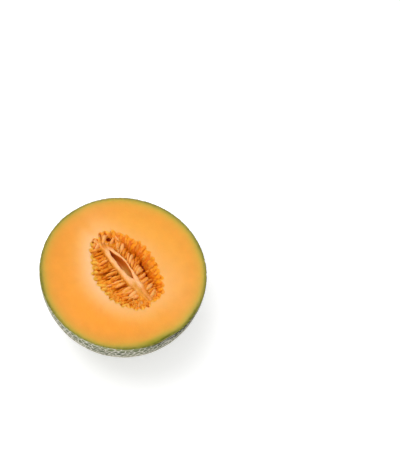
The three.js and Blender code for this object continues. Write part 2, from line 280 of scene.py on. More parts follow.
rindColours = {
    "green": [(0.3, (66, 76, 48)), (0.5, (86, 94, 60)), (0.72, (112, 116, 78))],
    "net": [(0.28, (160, 153, 137)), (0.5, (194, 190, 175)), (0.75, (214, 211, 200))],
    "fleck": (150, 150, 116), "nearCut": (164, 168, 112), "paintedShade": (72, 78, 52), "creaseShade": (22, 28, 20),
}


def rindMaterial():
    # Dull grey-green skin under a raised, dry, finely cracked net of pale cork. Painted shade lies on the
    # skin beside the cut over the flower's scar, with two dark lines of painted crease shade along the cut.
    paint = Paint("nettedRind")
    edge = paint.wavering(paint.attribute("cork"), 0.14, 1500)
    share = paint.spread(edge, 0.3, 0.55)
    green = paint.ramp(paint.noise(75, 4.0), rindColours["green"])
    fleck = paint.spread(paint.noise(2600, 2.0), 0.62, 0.72, 0.0, 0.45)
    green = paint.blend(fleck, green, rindColours["fleck"])
    height = paint.node("ShaderNodeSeparateXYZ", {"Vector": paint.place}).outputs["Z"]
    nearCut = paint.spread(height, (cutHeight - 7.0) * mm, cutHeight * mm, 0.0, 0.7)
    # painted shade on the skin beside the cut, which also takes away the paler band there
    paintedShade = paint.attribute("paintedShade")
    nearCut = paint.math("MULTIPLY", nearCut, paint.spread(paintedShade, 0.0, 1.0, 1.0, 0.0))
    green = paint.blend(nearCut, green, rindColours["nearCut"])
    pale = paint.ramp(paint.noise(600, 5.0, 0.7), rindColours["net"])
    colour = paint.blend(share, green, pale)
    colour = paint.blend(paint.spread(paintedShade, 0.0, 1.0, 0.0, 0.4), colour, rindColours["paintedShade"])
    wavy = paint.wavering(height, 0.0005, 140, 2.0)
    # two lines of painted crease shade, only where the painted shade lies
    for depth, halfWidth in rind["creases"]:
        away = paint.math("ABSOLUTE", paint.math("SUBTRACT", wavy, (cutHeight - depth) * mm))
        creaseShade = paint.spread(away, 0.5 * halfWidth * mm, halfWidth * mm, 1.0, 0.0)
        colour = paint.blend(paint.math("MULTIPLY", creaseShade, paintedShade), colour, rindColours["creaseShade"])
    cracks = paint.bump(paint.noise(2200, 4.0, 0.7), 0.0002, 0.8)
    lumps = paint.bump(paint.noise(500, 3.0), 0.0003, 0.4, cracks)
    roughness = paint.spread(share, 0.0, 1.0, 0.52, 0.86)
    return paint.finish(colour, roughness, lumps, Specular_IOR_Level=0.35)


# the pulp's ramp, from painted shade in pits and gaps to its bright orange on the ridges
pulpColours = [(0.0, (128, 16, 0)), (0.14, (156, 60, 0)), (0.35, (196, 99, 2)), (0.6, (220, 124, 8)),
               (0.8, (236, 144, 24)), (1.0, (244, 158, 46))]


def pulpMaterial():
    # Wet stringy pulp: deep orange-brown with painted shade in its gaps and pits, brighter on its ridges.
    paint = Paint("wetPulp")
    wavering = paint.wavering(paint.attribute("height"), 0.12, 480, 4.0, 0.6)
    colour = paint.ramp(wavering, pulpColours)
    strings = paint.bump(paint.noise(1100, 4.0, 0.6), 0.0003, 0.7)
    return paint.finish(colour, 0.3, strings, Subsurface_Weight=0.3, Subsurface_Scale=0.002,
                        Subsurface_Radius=(1.0, 0.6, 0.3), Specular_IOR_Level=0.13)


bandColours = {
    "pale": [(0.28, (242, 166, 96)), (0.5, (249, 184, 120)), (0.75, (252, 200, 146))],
    "orange": [(0.28, (204, 126, 20)), (0.5, (222, 146, 36)), (0.75, (236, 162, 58))],
    "peach": [(0.28, (212, 122, 30)), (0.5, (232, 142, 44)), (0.75, (244, 162, 66))],
    # down into the slit, and its floor from the stalk end to the other
    "inside": [(0.0, (242, 166, 92)), (0.12, (228, 130, 44)), (0.3, (208, 102, 18)), (1.0, (212, 106, 20))],
    "slitFloor": ((206, 108, 24), (218, 158, 70)),
}


def bandMaterial():
    # The pale, slightly pink tissue that carries the seeds: golden down its flanks, peach at both ends and
    # red-brown inside its slit.
    paint = Paint("paleBand")
    deep = paint.attribute("deep")
    fibres = paint.noise(420, 4.0, 0.6, (2.4, 0.5, 1.0))
    pale, orange, peach = (paint.ramp(fibres, bandColours[key]) for key in ("pale", "orange", "peach"))
    colour = paint.blend(paint.attribute("ending"), pale, peach)
    colour = paint.blend(paint.spread(paint.attribute("flank"), 0.1, 0.9), colour, orange)
    tan = paint.blend(paint.attribute("lower"), *bandColours["slitFloor"])
    inside = paint.ramp(deep, bandColours["inside"])
    inside = paint.blend(paint.spread(deep, 0.3, 0.8), inside, tan)
    colour = paint.blend(paint.spread(deep, 0.02, 0.14), colour, inside)
    strings = paint.bump(fibres, 0.0004, 0.6)
    return paint.finish(colour, 0.32, strings, Subsurface_Weight=0.3, Subsurface_Scale=0.002,
                        Subsurface_Radius=(1.0, 0.45, 0.18), Specular_IOR_Level=0.25)


pouchColours = {
    "skin": [(0.0, (204, 98, 0)), (0.45, (231, 120, 0)), (0.8, (246, 142, 10)), (1.0, (252, 157, 26))],
    "golden": (255, 188, 70), "paler": (246, 158, 70), "tip": (214, 150, 26),
}


def pouchMaterial():
    # Wet orange seed skin: a painted highlight along its crest, brighter inwards, some olive at the edge.
    paint = Paint("seedPouches")
    mottle = paint.spread(paint.noise(420, 4.0, 0.6), 0.3, 0.7, -0.2, 0.2)
    # painted light: the crest, 1 on top of each pouch, lightens its top and darkens its underside
    crest = paint.spread(paint.attribute("crest"), -1.0, 1.0)
    colour = paint.ramp(paint.math("ADD", crest, mottle), pouchColours["skin"])
    colour = paint.blend(paint.attribute("golden"), colour, pouchColours["golden"])
    paler = paint.spread(paint.math("ADD", paint.attribute("inner"), mottle), 0.35, 1.0, 0.0, 0.5)
    colour = paint.blend(paler, colour, pouchColours["paler"])
    colour = paint.blend(paint.attribute("tip"), colour, pouchColours["tip"])
    ripples = paint.bump(paint.noise(800, 4.0, 0.6), 0.00025, 0.6)
    return paint.finish(colour, 0.28, ripples, Subsurface_Weight=0.25, Subsurface_Scale=0.0015,
                        Subsurface_Radius=(1.0, 0.6, 0.3), Specular_IOR_Level=0.16)


# from bare to fully covered
seedColours = [(0.0, (251, 178, 104)), (0.35, (244, 158, 60)), (0.7, (234, 134, 18)), (1.0, (208, 108, 0))]


def seedMaterial():
    # Cream seeds seen through a film of wet orange pulp, barer at the middle of each seed.
    paint = Paint("wetSeeds")
    wavering = paint.wavering(paint.attribute("film"), 0.25, 360)
    colour = paint.ramp(wavering, seedColours)
    ripples = paint.bump(paint.noise(900, 3.0), 0.00015, 0.5)
    return paint.finish(colour, 0.26, ripples, Subsurface_Weight=0.25, Subsurface_Scale=0.0015,
                        Subsurface_Radius=(1.0, 0.6, 0.3), Specular_IOR_Level=0.15)


def floorMaterial():
    # White, with a glow that only the camera sees, so that the shadow on it stays pale.
    paint = Paint("paleFloor")
    shade = paint.ramp(paint.noise(6, 3.0), [(0.3, (253, 253, 253)), (0.7, (254, 254, 254))])
    seen = paint.node("ShaderNodeLightPath").outputs["Is Camera Ray"]
    paint.feed(paint.shader.inputs["Emission Color"], (255, 255, 255))
    paint.feed(paint.shader.inputs["Emission Strength"], paint.math("MULTIPLY", seen, 0.3))
    return paint.finish(shade, 0.85, Specular_IOR_Level=0.1)


# the fruit's skin

skin = {
    "halfWidth": 75.0, "halfLength": 76.3, "halfDepth": 78.0,  # of the whole fruit, over the net
    "dishAngle": 0.12, "stalkDish": 0.2, "flowerDish": 0.9,  # shallow dishes at the ends
    "unevenness": ((2, -2.2, 0.0035), (3, 0.9, 0.003)),  # waves round the rim, phase, share of the radius
}


def skinRadius(direction):
    # Distance from the middle of the cut face to the crest of the net: an ellipsoid with a little
    # unevenness round the rim, less a shallow dish at both ends.
    x, y, z = direction[..., 0], direction[..., 1], direction[..., 2]
    even = 1.0 / np.sqrt((x / skin["halfWidth"]) ** 2 + (y / skin["halfLength"]) ** 2
                         + (z / skin["halfDepth"]) ** 2)
    turn = np.arctan2(y, x)
    swell = sum(share * np.cos(number * turn + phase) for number, phase, share in skin["unevenness"])
    uneven = 1.0 + np.hypot(x, y) ** 2 * swell
    fromEnd = np.arccos(np.minimum(1.0, np.abs(y)))
    dish = np.where(y > 0, skin["stalkDish"], skin["flowerDish"])
    return even * uneven - dish * np.exp(-(fromEnd / skin["dishAngle"]) ** 2)


def placed(direction, radius):
    # Points a radius away from the middle of the cut face.
    points = direction * radius[..., None]
    return points + np.array([faceCentre[0], faceCentre[1], cutHeight])


def angleOf(points):
    # The angle round the middle of the cut face.
    return np.arctan2(points[..., 1] - faceCentre[1], points[..., 0] - faceCentre[0])


def skinRing(angles, depth, slope=0.0):
    # Points at a depth under the net's crest, on the cut's outline or at a slope below it.
    direction = np.stack([np.cos(angles) * math.cos(slope), np.sin(angles) * math.cos(slope),
                          np.full_like(angles, -math.sin(slope))], axis=-1)
    return placed(direction, skinRadius(direction) - depth)


def bowlRings(angles, depth, count):
    # The rings of points between the cut's outline and the lowest point, at even slopes.
    return [skinRing(angles, depth, slope) for slope in np.linspace(0, math.pi / 2, count)[1:-1]]


net = {
    "cells": 2350, "scatter": 0.34, "straightening": 0.4, "rounds": 3,
    "height": 0.6, "wave": 0.45, "waveLength": 5.0,
    "smoothed": 1.6, "edgeLevel": 0.9,  # how far from the cut the relief starts, and its level there
    "along": 3,  # pieces that each net line has
    "insets": (0.0, 0.34, 0.66, 0.9),  # across a net line, from its crest to its foot
    "mostInsets": (0.0, 0.3, 0.52, 0.68),  # the same at most, as shares of the way to the cell's middle
    "levels": (1.0, 0.93, 0.34, 0.0), "middleLevel": 0.1,
    "uneven": 0.32, "unevenLength": 17.0,  # of the lines' width
    "above": 0.16,  # cells whose middle is higher than this sine over the cut aren't made
    "scarRadius": 8.0, "stalkRadius": 5.5,
}


def trianglesOf(shape, scratch):
    # The corners of each triangle of a shape that is given back to its mesh.
    shape.to_mesh(scratch)
    shape.free()
    scratch.calc_loop_triangles()
    triangles = np.empty(3 * len(scratch.loop_triangles), np.int32)
    scratch.loop_triangles.foreach_get("vertices", triangles)
    return triangles.reshape(-1, 3).astype(int)


def netCells():
    # Cells round scattered middles: their corners, and the wedge that each side makes with the middle.
    count = net["cells"]
    rng = np.random.default_rng(7)
    index = np.arange(count)
    z = 1 - (2 * index + 1) / count
    turn = math.pi * (3 - math.sqrt(5)) * index
    ring = np.sqrt(1 - z * z)
    middles = np.stack([ring * np.cos(turn), ring * np.sin(turn), z], axis=-1)
    spacing = math.sqrt(4 * math.pi / count)
    middles = unit(middles + rng.uniform(-1, 1, middles.shape) * net["scatter"] * spacing)
    scratch = bpy.data.meshes.new("cellMiddles")
    scratch.from_pydata(middles.tolist(), [], [])
    hull = bmesh.new()
    hull.from_mesh(scratch)
    bmesh.ops.convex_hull(hull, input=hull.verts)
    bmesh.ops.triangulate(hull, faces=hull.faces)
    triangles = trianglesOf(hull, scratch)
    a, b, c = (middles[triangles[:, k]] for k in range(3))
    corners = np.cross(b - a, c - a)
    outwards = np.einsum("ij,ij->i", corners, a) < 0
    triangles[outwards] = triangles[outwards][:, ::-1]
    corners[outwards] *= -1
    tails = triangles.ravel()
    heads = np.roll(triangles, -1, axis=1).ravel()
    owner = np.repeat(np.arange(len(triangles)), 3)
    key = tails * count + heads
    order = np.argsort(key)
    twin = order[np.searchsorted(key[order], heads * count + tails)]
    return middles, unit(corners), tails, owner[twin], owner


def straightenNet(corners, ends, starts):
    # At each corner the two most opposite lines are drawn straight, so that the third meets them as a T.
    neighbours = np.empty((len(corners), 3), int)
    neighbours[starts.reshape(-1, 3)[:, 0]] = ends.reshape(-1, 3)
    for _ in range(net["rounds"]):
        towards = unit(corners[neighbours] - corners[:, None], 1e-9)
        pairs = ((0, 1), (1, 2), (2, 0))
        opposite = np.stack([np.einsum("ij,ij->i", towards[:, i], towards[:, j]) for i, j in pairs], axis=1)
        best = np.array(pairs)[np.argmin(opposite, axis=1)]
        every = np.arange(len(corners))
        middle = (corners[neighbours[every, best[:, 0]]] + corners[neighbours[every, best[:, 1]]]) / 2
        corners = unit(mix(corners, middle, net["straightening"]))
    return corners


def nettedSurface():
    # The outer skin as wedges: s runs along a net line, t from its crest to the middle of the cell.
    middles, corners, cellOf, first, second = netCells()
    corners = straightenNet(corners, first, second)
    count = len(middles)
    sums = np.zeros((count, 3))
    np.add.at(sums, cellOf, corners[first])
    centres = unit(sums)
    reach = np.zeros(count)
    sides = np.bincount(cellOf, minlength=count)
    np.add.at(reach, cellOf, np.linalg.norm(corners[first] - centres[cellOf], axis=1))
    reach = reach / sides * skin["halfWidth"]
    kept = centres[cellOf][:, 2] < net["above"]
    cellOf, first, second = cellOf[kept], first[kept], second[kept]

    s = np.linspace(0, 1, net["along"] + 1)
    line = corners[first][:, None] * (1 - s[None, :, None]) + corners[second][:, None] * s[None, :, None]
    line = unit(line)
    weight = 1.0 + net["uneven"] * waves(line * skin["halfWidth"], net["unevenLength"], 3)
    shares = np.array(net["insets"])[None, :, None] * weight[:, None, :] / reach[cellOf][:, None, None]
    shares = np.minimum(shares, np.array(net["mostInsets"])[None, :, None])
    centre = centres[cellOf][:, None, None, :]
    directions = line[:, None] * (1 - shares[..., None]) + centre * shares[..., None]
    level = np.broadcast_to(np.array(net["levels"])[None, :, None], shares.shape)
    height = level * np.clip(0.45 + 0.55 * weight[:, None, :], 0.5, 1.25)
    rows, columns = len(net["insets"]), net["along"] + 1
    wedges = len(cellOf)
    points = np.concatenate([directions.reshape(wedges, -1, 3), centre.reshape(wedges, 1, 3)], axis=1)
    heights = np.concatenate([height.reshape(wedges, -1), np.full((wedges, 1), net["middleLevel"])], axis=1)
    corks = np.concatenate([level.reshape(wedges, -1), np.zeros((wedges, 1))], axis=1)
    perWedge = rows * columns + 1
    local = gridFaces(rows, columns, closed=False)
    ring = np.arange((rows - 1) * columns, rows * columns)
    tip = np.stack([ring[:-1], ring[1:], np.full(columns - 1, perWedge - 1)], axis=-1)
    quads, tips = repeated(local, wedges, perWedge), repeated(tip, wedges, perWedge)
    return points.reshape(-1, 3), heights.ravel(), corks.ravel(), quads, tips


def rindShape(directions, heights, corks):
    # Puts directions on the skin: wavy lines, the scar of the flower and the scar of the stalk.
    at = directions * skin["halfWidth"]
    directions = unit(directions + shifts(at, net["waveLength"], 21) * net["wave"] / skin["halfWidth"])
    fromEnd = np.arccos(np.minimum(1.0, np.abs(directions[:, 1]))) * skin["halfLength"]
    edge = fromEnd + 0.9 * waves(at, 6.0, 31)
    radius = np.where(directions[:, 1] < 0, net["scarRadius"], net["stalkRadius"])
    inScar = 1 - smoothStep(radius - 1.2, radius + 0.6, edge)
    ringed = np.exp(-((edge - radius) / 0.9) ** 2)
    scarred = 0.35 + 0.25 * waves(at, 2.6, 33) + 0.75 * ringed
    heights = mix(heights, scarred, np.maximum(inScar, ringed * 0.8))
    corks = np.maximum(corks, np.maximum(inScar * 0.8, ringed))
    nearCut = np.exp(-(directions[:, 2] * skin["halfDepth"] / net["smoothed"]) ** 2)
    heights = mix(heights, net["edgeLevel"], 0.75 * nearCut)
    points = placed(directions, skinRadius(directions) - net["height"] * (1 - heights))
    points[:, 2] = np.maximum(points[:, 2], 0.0)
    return points, corks


rind = {
    "thickness": 2.3, "rimDepths": (0.8, 1.4, 2.3), "bowlRows": 7,
    "edge": 0.35, "green": 24.0,
    # where painted shade lies on the skin beside the cut: angle, spread, share
    "paintedShade": ((-1.48, 0.34, 1.15),), "darkerDepth": 13.0,
    # painted shade in two creases along the cut
    "creases": ((1.2, 1.4), (5.2, 1.4)),  # depth under the cut, half width
    # where the green is narrower, or wider if negative: angle, spread, mm
    "riper": ((1.3, 0.4, 1.1), (0.2, 0.5, -0.3), (-0.6, 0.4, -0.3), (-1.15, 0.3, -0.9), (-1.62, 0.24, -1.7),
              (-1.95, 0.3, -0.6), (-2.75, 0.35, 0.6), (2.85, 0.35, -1.1)),
}


def ripeness(points, depth):
    # From 0 at the skin to 1 where the flesh is fully orange, 24 mm in, with a green edge of uneven width.
    turn = angleOf(points)
    riper = 0.1 + 0.25 * np.sin(7 * turn) + 0.2 * np.sin(13 * turn + 1)
    riper = riper + byAngle(turn, rind["riper"])
    under = np.maximum(0.0, depth - rind["edge"])
    return np.clip((under + riper * smoothStep(0.0, 2.0, under)) / rind["green"], 0.0, 1.0)


def cutSkin():
    # The netted skin below the cut: its points, cork and triangles, and its points on the cut in order.
    directions, heights, corks, quads, tips = nettedSurface()
    points, corks = rindShape(directions, heights, corks)
    points, firstSeen, index = np.unique(np.round(points, 4), axis=0, return_index=True,
                                         return_inverse=True)
    triangles = index.ravel()[np.concatenate([quads[:, :3], quads[:, [0, 2, 3]], tips])]
    a, b, c = triangles.T
    triangles = triangles[(a != b) & (b != c) & (c != a)]
    triangles = triangles[np.unique(np.sort(triangles, axis=1), axis=0, return_index=True)[1]]
    scratch = bpy.data.meshes.new("skin")
    scratch.from_pydata(points.tolist(), [], triangles.tolist())
    layer = scratch.attributes.new("cork", "FLOAT", "POINT")
    layer.data.foreach_set("value", corks[firstSeen].astype(np.float32))
    shell = bmesh.new()
    shell.from_mesh(scratch)
    everything = shell.verts[:] + shell.edges[:] + shell.faces[:]
    bmesh.ops.bisect_plane(shell, geom=everything, plane_co=(0, 0, cutHeight), plane_no=(0, 0, 1),
                           clear_outer=True)
    triangles = trianglesOf(shell, scratch)
    count = len(scratch.vertices)
    points, corks = np.empty(3 * count, np.float32), np.empty(count, np.float32)
    scratch.vertices.foreach_get("co", points)
    scratch.attributes["cork"].data.foreach_get("value", corks)
    points = points.reshape(-1, 3).astype(float)
    a, b, c = (points[triangles[:, k]] for k in range(3))
    outwards = np.einsum("ij,ij->i", np.cross(b - a, c - a), a - np.array([*faceCentre, cutHeight])) > 0
    triangles = np.where(outwards[:, None], triangles, triangles[:, ::-1])
    onCut = np.nonzero(points[:, 2] > cutHeight - 1e-3)[0]
    turns = angleOf(points[onCut])
    order = np.argsort(turns)
    return points, corks, triangles, onCut[order], turns[order]


def makeRind(rindPaint, fleshPaint):
    # The netted skin cut off at the face, closed by a narrow rim and an inner bowl that have a column of
    # points for each of its points on the cut.
    points, corks, triangles, edge, angles = cutSkin()
    rings = [skinRing(angles, depth) for depth in rind["rimDepths"]]
    rings += bowlRings(angles, rind["thickness"], rind["bowlRows"])
    columns, count = len(edge), len(rings)
    first = len(points)
    lowest = [*faceCentre, cutHeight - skin["halfDepth"] + rind["thickness"]]
    ripe = [np.zeros(first)]
    for row, ring in enumerate(rings):
        depth = rind["rimDepths"][min(row, len(rind["rimDepths"]) - 1)]
        ripe.append(ripeness(ring, np.full(columns, depth)))
    following = np.roll(np.arange(columns), -1)
    rim = np.stack([edge, edge[following], first + following, first + np.arange(columns)], axis=-1)
    inner = gridFaces(count, columns, start=first)
    floor = fanFaces(first + np.arange((count - 1) * columns, count * columns), first + count * columns)
    flat = len(rind["rimDepths"]) - 1
    painted = np.zeros(len(triangles) + len(rim) + len(inner) + len(floor))
    painted[len(triangles):len(triangles) + (1 + flat) * columns] = 1
    zeros = np.zeros(count * columns + 1)
    under = cutHeight - points[:, 2]
    # painted shade on the skin beside the cut over the flower's scar, fading with depth under the cut
    paintedShade = byAngle(angleOf(points), rind["paintedShade"]) * smoothStep(rind["darkerDepth"], 1.0, under)
    makePiece("netted_rind", "flesh_and_rind", np.concatenate([points, *rings, [lowest]]),
              [triangles, rim, inner, floor], [rindPaint, fleshPaint],
              {"cork": np.concatenate([corks, zeros]), "ripe": np.concatenate([*ripe, [0.0]]),
               "paintedShade": np.concatenate([paintedShade, zeros])}, painted)


# the seed hollow

hollow = {
    "centreX": 2.4 + faceCentre[0], "centreY": 0.9 + faceCentre[1],
    "halfWidth": 27.6, "halfLength": 41.5, "depth": 27.0,
    # where the oval is flatter than an ellipse, or fuller if negative: angle, spread, depth
    "dents": ((2.3, 0.45, 3.0), (0.95, 0.3, 1.2), (-1.08, 0.24, -2.1), (-1.6, 0.2, 0.8), (-1.47, 0.08, 2.4),
              (1.54, 0.1, -1.6), (1.67, 0.07, 2.6), (1.79, 0.1, -1.6)),
    # teeth stand wider apart on the right, and closer in angle at both ends
    "teeth": 35, "toothDepth": 2.5, "sideways": 0.06, "endways": 0.1, "repeats": 12,
}


def angleOfTooth(number):
    # The angle that a number of teeth reach to, counted round from the right, found by repeating.
    even = number / hollow["teeth"] * 2 * math.pi
    angle = even
    for _ in range(hollow["repeats"]):
        angle = even + hollow["sideways"] * np.sin(angle) + hollow["endways"] * np.sin(2 * angle)
    return angle


def toothAt(angle):
    # How far the hollow's edge stands out, from 0 between teeth to 1 at a tip.
    even = angle - hollow["sideways"] * np.sin(angle) - hollow["endways"] * np.sin(2 * angle)
    turn = (even / (2 * math.pi) * hollow["teeth"]) % hollow["teeth"]
    number = np.floor(turn)
    size = 0.75 + 0.45 * np.sin(number * 2.4) * np.cos(number * 1.1)
    return size * np.sin(math.pi * (turn % 1.0)) ** 1.3


def hollowRadius(angle, share):
    # Distance from the hollow's middle: a dented oval with teeth, which runs in to the floor as a quarter
    # ellipse on the left and as a slope on the right.
    oval = 1 / np.hypot(np.cos(angle) / hollow["halfWidth"], np.sin(angle) / hollow["halfLength"])
    oval = oval - byAngle(angle, hollow["dents"])
    right = smoothStep(-0.35, 0.65, np.cos(angle))
    steep = np.sqrt(np.maximum(0, 1 - share**2))
    sloped = np.maximum(0, 1 - share) ** 1.1
    tooth = hollow["toothDepth"] * toothAt(angle) * (1 - share)
    return np.maximum(0.0, oval * mix(steep, sloped, right * 0.8) + tooth)


def roundHollow(angle, radius):
    # x and y at an angle and a radius round the hollow's middle.
    return hollow["centreX"] + radius * np.cos(angle), hollow["centreY"] + radius * np.sin(angle)


def hollowPoints(angle, share, inset=0.0):
    # Points of the hollow's wall, or inside it by an inset, at a share of its depth.
    radius = np.maximum(0.0, hollowRadius(angle, share) - inset)
    return np.stack([*roundHollow(angle, radius), cutHeight - hollow["depth"] * share + 0 * angle], axis=-1)


flesh = {
    "columns": 552, "wallRows": 34, "faceRows": 44, "bowlRows": 14, "streak": 0.28,
    "gap": 1.0,  # between the flesh and the skin's bowl, which has fewer rows
    "overlap": 0.15,  # how far the cut face goes on over the rim of the rind's piece
    "deepest": 0.985, "towardsLip": 1.15,  # share of the hollow's depth, and how rows crowd near the lip
    "lipShare": 0.04, "lipFall": 0.25,  # the lip is rounded over that share of the depth
    "raised": 0.04, "swell": 0.05, "swellLength": 14.0,  # the cut face over the frame's cut, and its waves
    "sway": ((9, 1.3, 0.022), (23, 0.0, 0.014)),  # of the wall's strings: waves round, phase, angle
    # the pale halo round the hollow: its strength on the right, what the left has more, and how far it goes
    "halo": 0.45, "leftHalo": 0.6, "haloReach": 9.0,
    # where it is stronger, or weaker if negative: angle, spread, strength
    "haloChanges": ((-2.06, 0.52, -0.5), (0.8, 0.55, -0.22), (-0.6, 0.7, -0.38), (1.48, 0.35, -0.2)),
    # where a faint, broad halo is added: angle, spread, strength
    "broadHalo": ((-0.79, 0.6, 0.32), (1.48, 0.35, 0.24)), "broadReach": 26.0,
    "deeper": ((-2.45, 1.0, 1.0),),  # where the flesh is a deeper orange: angle, spread, share
    # where painted shade dims the face out to the rind: angle, spread, share
    "shade": ((2.45, 1.2, 1.0), (-2.2, 0.7, 0.6)),
    # an olive patch under the rind: angle, spread, share, then its depth and how far it fades
    "patch": ((-1.75, 0.18, 0.75),), "patchDepth": 3.2, "patchFade": 2.8,
}


def makeFlesh(paint):
    # Rows of points round the hollow: up its wall from the floor, out over the cut face to the rind, and
    # back under the rind to the lowest point.
    angles = np.linspace(0, 2 * math.pi, flesh["columns"], endpoint=False)
    swayed = angles + sum(far * np.sin(number * angles + phase) for number, phase, far in flesh["sway"])
    leftSide = smoothStep(0.35, -0.6, np.cos(angles))
    strength = flesh["halo"] + flesh["leftHalo"] * leftSide + byAngle(angles, flesh["haloChanges"])
    strength = np.maximum(0.0, strength)
    broad = byAngle(angles, flesh["broadHalo"])
    deepest, greenest = byAngle(angles, flesh["deeper"]), byAngle(angles, flesh["patch"])
    darkest = byAngle(angles, flesh["shade"])
    rows, wall, halo, ripe, deeper, patch, shade = [], [], [], [], [], [], []
    for share in np.linspace(flesh["deepest"], 0.0, flesh["wallRows"]) ** flesh["towardsLip"]:
        ring = hollowPoints(angles, np.full_like(angles, share))
        across = waves(np.stack([swayed * 60, np.full_like(angles, share * 6)], axis=-1), 2.6, 41)
        outward = np.stack([np.cos(angles), np.sin(angles), 0 * angles], axis=-1)
        ring = ring + outward * (flesh["streak"] * across * smoothStep(0, 0.08, share))[:, None]
        if share < flesh["lipShare"]:
            ring[:, 2] -= flesh["lipFall"] * (1 - share / flesh["lipShare"])
        rows.append(ring)
        wall.append(np.full_like(angles, 0.15 + 0.85 * smoothStep(0.0, 0.08, share)))
        for values in (halo, deeper, patch, shade):
            values.append(np.zeros_like(angles))
        ripe.append(np.ones_like(angles))
    faceInset = rind["thickness"] - flesh["overlap"]
    inner = hollowPoints(angles, np.zeros_like(angles))
    outer = skinRing(angles, faceInset)
    t = np.linspace(0, 1, flesh["faceRows"] + 1)[1:]
    spacing = np.where(t > 0.6, 1 - (1 - t) * 0.5, mix(0.06, 0.8, (t - 0.25) / 0.35))
    spacing = np.where(t < 0.25, t * 0.24, spacing)
    length = np.linalg.norm(outer - inner, axis=1)
    beyond = hollow["toothDepth"] * (toothAt(angles) - 0.45)  # so that the halo doesn't follow the teeth
    for share in spacing:
        ring = mix(inner, outer, share)
        fromHollow = share * length
        raised = flesh["raised"] + flesh["swell"] * waves(ring[:, :2], flesh["swellLength"], 43)
        ring[:, 2] = cutHeight + raised - flesh["lipFall"] * np.exp(-fromHollow / 0.5)
        if share > 0.995:  # the outermost ring lies flat on the rind's rim
            ring[:, 2] = cutHeight + 0.03
        depth = (1 - share) * length + faceInset
        rows.append(ring)
        wall.append(0.15 * np.exp(-(fromHollow / 0.8) ** 2))
        fromOval = np.maximum(0.0, fromHollow + beyond * smoothStep(0.0, 2.0, fromHollow))
        near = np.exp(-(fromOval / (flesh["haloReach"] + 1.0 * leftSide)) ** 1.7)
        halo.append(strength * near + broad * np.exp(-(fromOval / flesh["broadReach"]) ** 2))
        ripe.append(ripeness(ring, depth))
        deeper.append(deepest * smoothStep(6.0, 22.0, fromHollow) * smoothStep(0.3, 1.0, ripe[-1]))
        patch.append(greenest * np.exp(-((depth - flesh["patchDepth"]) / flesh["patchFade"]) ** 2))
        shade.append(darkest * smoothStep(6.0, 18.0, fromHollow) * smoothStep(1.0, 3.5, depth))
    for ring in bowlRings(angles, rind["thickness"] + flesh["gap"], flesh["bowlRows"]):
        rows.append(ring)
        for values in (wall, halo, deeper, patch, shade):
            values.append(np.zeros_like(angles))
        ripe.append(np.full_like(angles, 0.3))
    points = np.concatenate(rows)
    floor = [hollow["centreX"], hollow["centreY"], cutHeight - hollow["depth"]]
    under = [*faceCentre, cutHeight - skin["halfDepth"] + rind["thickness"] + flesh["gap"]]
    points = np.concatenate([points, [floor], [under]])
    faces = closedFaces(len(rows), flesh["columns"])
    values = {"wall": wall, "halo": halo, "deeper": deeper, "patch": patch, "shade": shade, "ripe": ripe}
    ends = {"wall": [1, 0], "ripe": [1, 0.3]}
    attributes = {key: np.concatenate([np.concatenate(rowsOf), ends.get(key, [0, 0])])
                  for key, rowsOf in values.items()}
    attributes["cork"] = np.zeros(len(points))
    makePiece("flesh", "flesh_and_rind", points, faces, [paint], attributes)


# the pale band and its slit

band = {
    # from the stalk end to the other: y, left side, slit's left edge, slit's right edge, right side
    "stations": (
        (35.5, -3.6, -0.4, -0.4, 1.6), (32.5, -4.6, -0.2, -0.2, 2.0), (29.5, -3.5, 0.3, 0.3, 3.2),
        (27.0, -3.3, 0.7, 0.8, 4.8), (25.0, -3.5, 0.8, 1.8, 5.8), (22.0, -3.8, 0.6, 2.8, 6.0),
        (19.0, -3.8, 0.6, 4.1, 7.2), (16.0, -3.7, 0.6, 5.3, 7.9), (13.0, -3.6, 0.8, 6.3, 8.5),
        (8.0, -3.3, 1.0, 7.3, 9.3), (4.0, -2.9, 1.2, 7.2, 9.2), (1.0, -2.7, 1.8, 6.9, 8.9),
        (-2.0, -2.5, 2.1, 6.7, 8.8), (-5.0, -2.3, 2.6, 6.3, 9.6), (-8.0, -2.1, 3.7, 5.6, 9.4),
        (-10.5, -1.9, 4.7, 4.8, 9.1), (-16.0, -1.1, 5.0, 5.0, 8.9), (-23.0, 0.5, 4.9, 4.9, 8.7),
        (-30.0, 2.2, 5.2, 5.2, 8.7), (-36.0, 3.8, 6.4, 6.4, 9.4), (-40.6, 4.8, 7.0, 7.0, 9.8)),
    "rows": 170, "smoothing": 3, "samples": 400, "blurred": 21,
    "crest": -0.7, "rightCrest": -1.3, "foot": -11.5, "slitDepth": 8.2, "groove": 0.4, "slope": 2.6,
}


def bandEdges(y):
    # The four edges of the band at some y, drawn smoothly through the stations.
    stations = np.array(band["stations"])[::-1]
    fine = np.linspace(stations[0, 0], stations[-1, 0], band["samples"])
    kernel = np.hanning(band["blurred"]) / np.hanning(band["blurred"]).sum()
    half = band["blurred"] // 2
    edges = []
    for column in range(1, 5):
        line = np.interp(fine, stations[:, 0], stations[:, column])
        padded = np.concatenate([np.full(half, line[0]), line, np.full(half, line[-1])])
        edges.append(np.interp(y, fine, np.convolve(padded, kernel, "valid")) + faceCentre[0])
    return edges


def roundOff(rings, times):
    # Doubles the points of closed rings each time, as a cubic curve through them.
    for _ in range(times):
        before, after = np.roll(rings, 1, axis=1), np.roll(rings, -1, axis=1)
        rings = np.stack([(before + 6 * rings + after) / 8, (rings + after) / 2], axis=2)
        rings = rings.reshape(rings.shape[0], -1, rings.shape[-1])
    return rings


